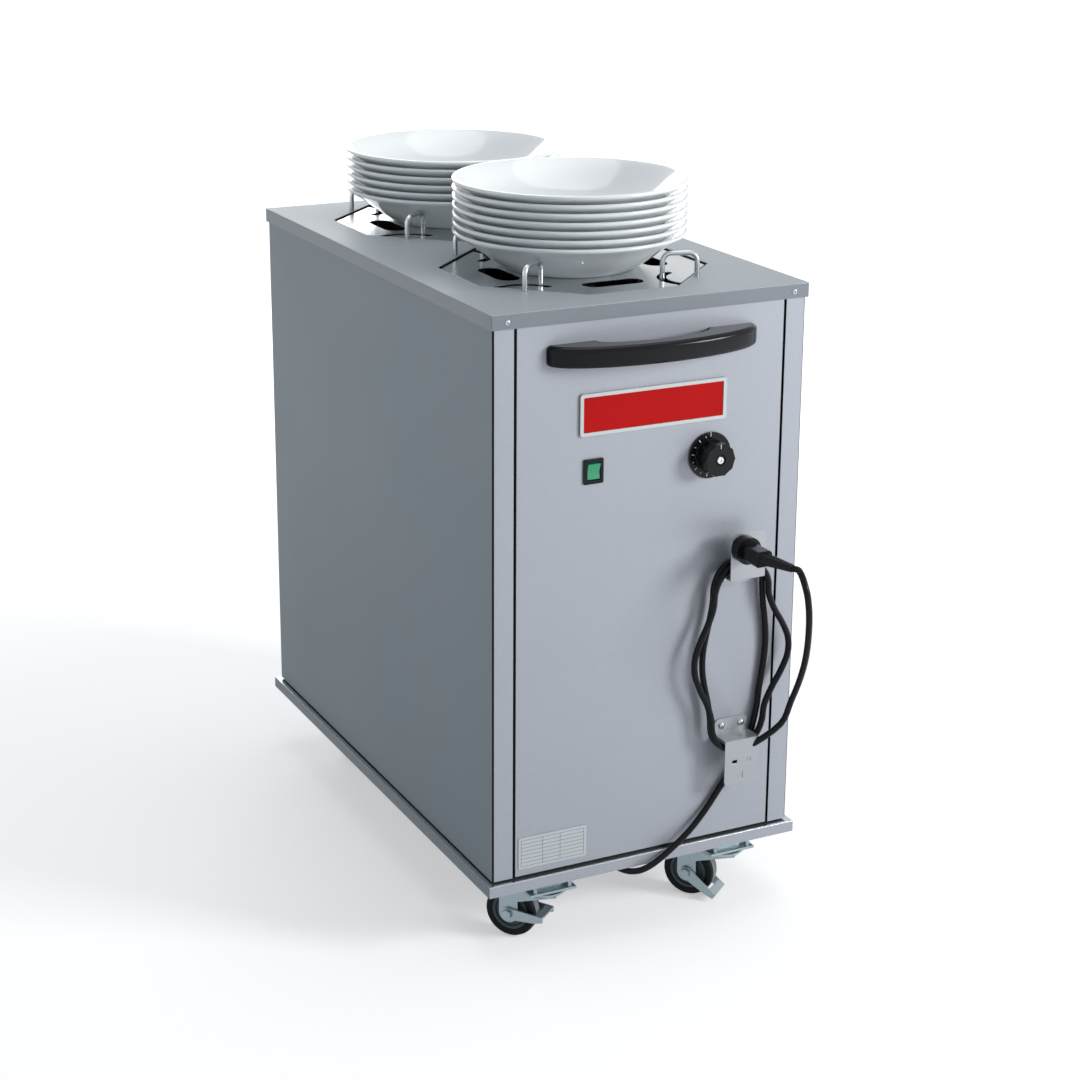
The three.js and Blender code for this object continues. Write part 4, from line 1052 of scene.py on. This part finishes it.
def smooth_line(points, steps):
    """Points on a centripetal Catmull-Rom curve through the given points."""
    padded = [points[0] * 2 - points[1], *points, points[-1] * 2 - points[-2]]
    line = [points[0]]
    for p0, p1, p2, p3 in zip(padded, padded[1:], padded[2:], padded[3:]):
        t1 = math.sqrt((p1 - p0).length)
        t2 = t1 + math.sqrt((p2 - p1).length)
        t3 = t2 + math.sqrt((p3 - p2).length)
        for step in range(1, steps + 1):
            t = t1 + (t2 - t1) * step / steps
            a1 = p0.lerp(p1, t / t1)
            a2 = p1.lerp(p2, (t - t1) / (t2 - t1))
            a3 = p2.lerp(p3, (t - t2) / (t3 - t2))
            b1 = a1.lerp(a2, t / t2)
            b2 = a2.lerp(a3, (t - t1) / (t3 - t1))
            line.append(b1.lerp(b2, (t - t1) / (t2 - t1)))
    return line


def cord_route():
    """Points of the cord's centre line from the gland's mouth to the plug's sleeve."""
    mouth = at(*GLAND) + GLAND_HEADING * mm(GLAND_REACH)
    relief_end = at(*RELIEF_ROOT) + RELIEF_HEADING * mm(RELIEF_REACH)
    route = [mouth, mouth + GLAND_HEADING * mm(STRAIGHT_END)]
    route += [at(*place) for place in LEAD_ROUTE]
    turns = WOUND_START
    while turns < WOUND_END:
        route.append(wound_point(turns))
        turns += WOUND_STEP
    route += [at(*place) for place in TAIL_ROUTE]
    route += [relief_end + RELIEF_HEADING * mm(STRAIGHT_END), relief_end]
    return smooth_line(route, ROUTE_STEPS)


class CART_OT_cord(bpy.types.Operator):
    """Mains cord from the gland, twice round the hooks and on to the parked plug"""

    bl_idname = "cart.cord"
    bl_label = "Cord and plug"

    def execute(self, context):
        line = cord_route()
        curve = bpy.data.curves.new("mains_cord", "CURVE")
        curve.dimensions = "3D"
        curve.bevel_depth = sizes().cord / 2
        curve.bevel_resolution = 3
        curve.use_fill_caps = True
        spline = curve.splines.new("POLY")
        spline.points.add(len(line) - 1)
        for point, place in zip(spline.points, line):
            point.co = (*place, 1)
        curve.materials.append(cord_rubber())
        cord = new_object("mains_cord", curve)
        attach(cord, "cabinet")
        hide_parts("cord_lead", "cord_wound", "cord_tail")
        plug = softened("plug", mm(0.8), black_plastic(), angle=55)
        gland = softened("cord_gland", mm(0.6), black_plastic(), angle=55)
        return {"FINISHED"}


# ---- lift and guides

# Millimetres: the radius of the springs' wire, and how a guide's rod is bent. What lies
# farther than GUIDE_REACH from a guide's pivot belongs to its free leg.
SPRING_WIRE = 1.1
SPRING_CURLS = 24
GUIDE_REACH = 30
GUIDE_BEND = 12


class CART_OT_lift(bpy.types.Operator):
    """Lift platforms, carriages, frames, springs and heating elements"""

    bl_idname = "cart.lift"
    bl_label = "Lift"

    def execute(self, context):
        for well in WELLS:
            softened(f"{well}_lift_platform", mm(0.25), bright_steel())
            softened(f"{well}_lift_carriage", 0, zinc())
            softened(f"{well}_lift_frame", 0, zinc())
            softened(f"{well}_heating_element", 0, dark_steel())
            for side in ("left", "right"):
                self.spring(well, side)
        return {"FINISHED"}

    @staticmethod
    def spring(well, side):
        """A coil that stretches between the frame's bracket and the carriage's tab."""
        node = f"{well}_{side}_lift_spring"
        low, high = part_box(node)
        centre = (low + high) / 2
        wire = mm(SPRING_WIRE)
        radius = (high.x - low.x) / 2 - wire
        start = (Matrix.Translation((centre.x + radius, centre.y, low.z + wire))
                 @ Matrix.Rotation(math.pi / 2, 4, "X"))
        bm = bmesh.new()
        ring = bmesh.ops.create_circle(bm, cap_ends=False, segments=8, radius=wire, matrix=start)
        edges = list({edge for vert in ring["verts"] for edge in vert.link_edges})
        rise = (high.z - low.z - 2 * wire) / SPRING_CURLS
        for _ in range(SPRING_CURLS):
            made = bmesh.ops.spin(bm, geom=edges, cent=(centre.x, centre.y, 0), axis=(0, 0, 1),
                                  dvec=(0, 0, rise / 12), angle=math.tau, steps=12)["geom_last"]
            edges = only(bmesh.types.BMEdge, made)
        bmesh.ops.holes_fill(bm, edges=[edge for edge in bm.edges if edge.is_boundary])
        bmesh.ops.recalc_face_normals(bm, faces=bm.faces)
        piece = finish_piece(bm, node + "_coil", None, [spring_steel()], even=False)
        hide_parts(node)
        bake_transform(piece)


class CART_OT_guides(bpy.types.Operator):
    """Plate guides: inverted U rods"""

    bl_idname = "cart.guides"
    bl_label = "Plate guides"

    def execute(self, context):
        for well in WELLS:
            for corner in CORNERS:
                self.guide(well, corner)
        return {"FINISHED"}

    @staticmethod
    def guide(well, corner):
        """A rod whose pivot leg stands on the swing joint's axis."""
        node = f"{well}_well_{corner}_guide"
        joint = JOINTS[f"{well}_{corner}_guide_swing"]
        low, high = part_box(node)
        radius = sizes().guide_rod / 2
        pivot = Vector((joint["pos_m"][0], joint["pos_m"][1], low.z))
        reach = Vector(((low.x + high.x) - 2 * pivot.x, (low.y + high.y) - 2 * pivot.y, 0))
        crest = Vector((0, 0, high.z - radius - low.z))
        corners = [pivot, pivot + crest, pivot + reach + crest, pivot + reach]
        corners[3].z = min(vert.co.z for vert in NODES[node].data.vertices
                           if (vert.co.xy - pivot.xy).length > mm(GUIDE_REACH))
        bm = rod(bent(corners, mm(GUIDE_BEND)), radius)
        finish_piece(bm, node + "_rod", NODES[node]["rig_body"], [bright_steel()], [node],
                     even=False)


# ---- plates

# Outline of one plate as [radius, height] in millimetres: underside, lip, then the inside.
PLATE_OUTLINE = (
    (0, 4.5), (83, 4.5), (85, 1.2), (86, 0.3), (87.5, 0), (89.5, 0), (91, 0.8), (96, 3.6), (106, 9.6),
    (116, 16.6), (126, 24.2), (135, 31), (143, 36.8), (150, 41.2), (156, 44.8), (160.5, 47.6),
    (162.2, 49.0), (162.5, 50.8), (161.9, 52.2), (160.6, 53.0), (158.8, 53.0), (156.5, 51.8),
    (150.5, 47.4), (143, 41.2), (136, 35.0), (128, 28.2), (118, 21.0), (108, 15.6), (98, 12.2),
    (90, 11.2), (80, 10.4), (60, 9.8), (30, 9.5), (0, 9.5),
)
# The lowest plate stands this far, in millimetres, above the floor of its stack's box.
PLATE_LIFT = 0.05


class CART_OT_plates(bpy.types.Operator):
    """The two stacks of nested plates"""

    bl_idname = "cart.plates"
    bl_label = "Plates"

    def execute(self, context):
        for well, count in (("front", sizes().front_plates), ("rear", sizes().rear_plates)):
            node = f"{well}_plate_stack"
            low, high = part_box(node)
            centre = (low + high) / 2
            bm = bmesh.new()
            for index in range(count):
                raised = 0 if index else mm(PLATE_LIFT)
                outline = [(mm(radius), mm(height) + raised) for radius, height in PLATE_OUTLINE]
                lift = low.z + index * sizes().plate_pitch
                add_to(bm, turned_shape(outline, 96, (centre.x, centre.y, lift)))
            finish_piece(bm, f"{well}_plates_stacked", NODES[node]["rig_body"],
                         [glazed_china()], [node], sharp=60, even=False)
        return {"FINISHED"}


# ---- casters

# Millimetres. Sections as [radius, height from the wheel's side]; the tyre's outer points are
# measured in from the tread.
WHEEL_HALF = 12.5
TYRE_SEAT = ((27.3, 1), (30, 0.2))
TYRE_SHOULDER = ((4, 0), (1.4, 1.6), (0.3, 4.6), (0, 7))
CORE_SIDE = ((4.6, 0), (9.5, 0), (11, 0.8), (12, 4), (21, 4), (23, 1.4), (26.6, 1.2), (27, 2))
# The part of the tread that is worn pale: half its width, and its depth.
WORN_HALF = 5.8
WORN_DEPTH = 2


def ring_section(side, half):
    """A closed section from the points of one side, mirrored to the other."""
    near = [(radius, height - half) for radius, height in side]
    far = [(radius, half - height) for radius, height in reversed(side)]
    return [*near, *far, near[0]]


class CART_OT_casters(bpy.types.Operator):
    """Swivel casters with their wheels, forks and brake stirrups"""

    bl_idname = "cart.casters"
    bl_label = "Casters"

    def execute(self, context):
        for caster in CASTERS:
            softened(f"{caster}_caster_plate", mm(0.3), zinc())
            softened(f"{caster}_caster_fork", mm(0.4), zinc())
            if f"{caster}_brake_stirrup" in NODES:
                softened(f"{caster}_brake_stirrup", mm(0.3), zinc())
            self.wheel(caster)
        return {"FINISHED"}

    @staticmethod
    def wheel(caster):
        """A tyre with a worn tread and its wheel core, turned about the wheel's axis."""
        joint = JOINTS[f"{caster}_wheel_spin"]
        centre, axis = Vector(joint["pos_m"]), Vector(joint["axis"])
        radius = centre.z
        half = mm(WHEEL_HALF)
        side = [(mm(seat), mm(height)) for seat, height in TYRE_SEAT]
        side += [(radius - mm(inward), mm(height)) for inward, height in TYRE_SHOULDER]
        tyre = turned_shape(ring_section(side, half), 64, centre, axis)
        for face in tyre.faces:
            out = face.calc_center_median() - centre
            worn = abs(out.dot(axis)) < mm(WORN_HALF) and out.length > radius - mm(WORN_DEPTH)
            face.material_index = int(worn)
        body = NODES[f"{caster}_tyre"]["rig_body"]
        finish_piece(tyre, f"{caster}_tyre_turned", body,
                     [tyre_rubber(), tread_rubber()], [f"{caster}_tyre"])
        side = [(mm(reach), mm(height)) for reach, height in CORE_SIDE]
        core = turned_shape(ring_section(side, half), 48, centre, axis)
        finish_piece(core, f"{caster}_wheel_core_turned", body, [hub_plastic()],
                     [f"{caster}_wheel_core"])


# ---- panel and running

OPERATORS = (
    CART_OT_stage, CART_OT_casing, CART_OT_cover_screws, CART_OT_handle, CART_OT_badge,
    CART_OT_switch, CART_OT_thermostat, CART_OT_hooks, CART_OT_cord, CART_OT_lift, CART_OT_guides,
    CART_OT_plates, CART_OT_casters,
)


class CART_PT_sidebar(bpy.types.Panel):
    """Settings and steps of the cart"""

    bl_idname = "CART_PT_sidebar"
    bl_label = "Plate dispenser cart"
    bl_space_type = "VIEW_3D"
    bl_region_type = "UI"
    bl_category = "Cart"

    def draw(self, context):
        for settings in (context.scene.cart_sizes, context.scene.cart_colours):
            for name in settings.__annotations__:
                self.layout.prop(settings, name)
        for operator in OPERATORS:
            self.layout.operator(operator.bl_idname)


CLASSES = (CartSizes, CartColours, *OPERATORS, CART_PT_sidebar)


def register():
    for item in CLASSES:
        bpy.utils.register_class(item)
    bpy.types.Scene.cart_sizes = PointerProperty(type=CartSizes)
    bpy.types.Scene.cart_colours = PointerProperty(type=CartColours)


def unregister():
    del bpy.types.Scene.cart_colours
    del bpy.types.Scene.cart_sizes
    for item in reversed(CLASSES):
        bpy.utils.unregister_class(item)


def main():
    register()
    for operator in OPERATORS:
        group, name = operator.bl_idname.split(".")
        getattr(getattr(bpy.ops, group), name)()
    bpy.context.view_layer.update()


if __name__ == "__main__":
    main()
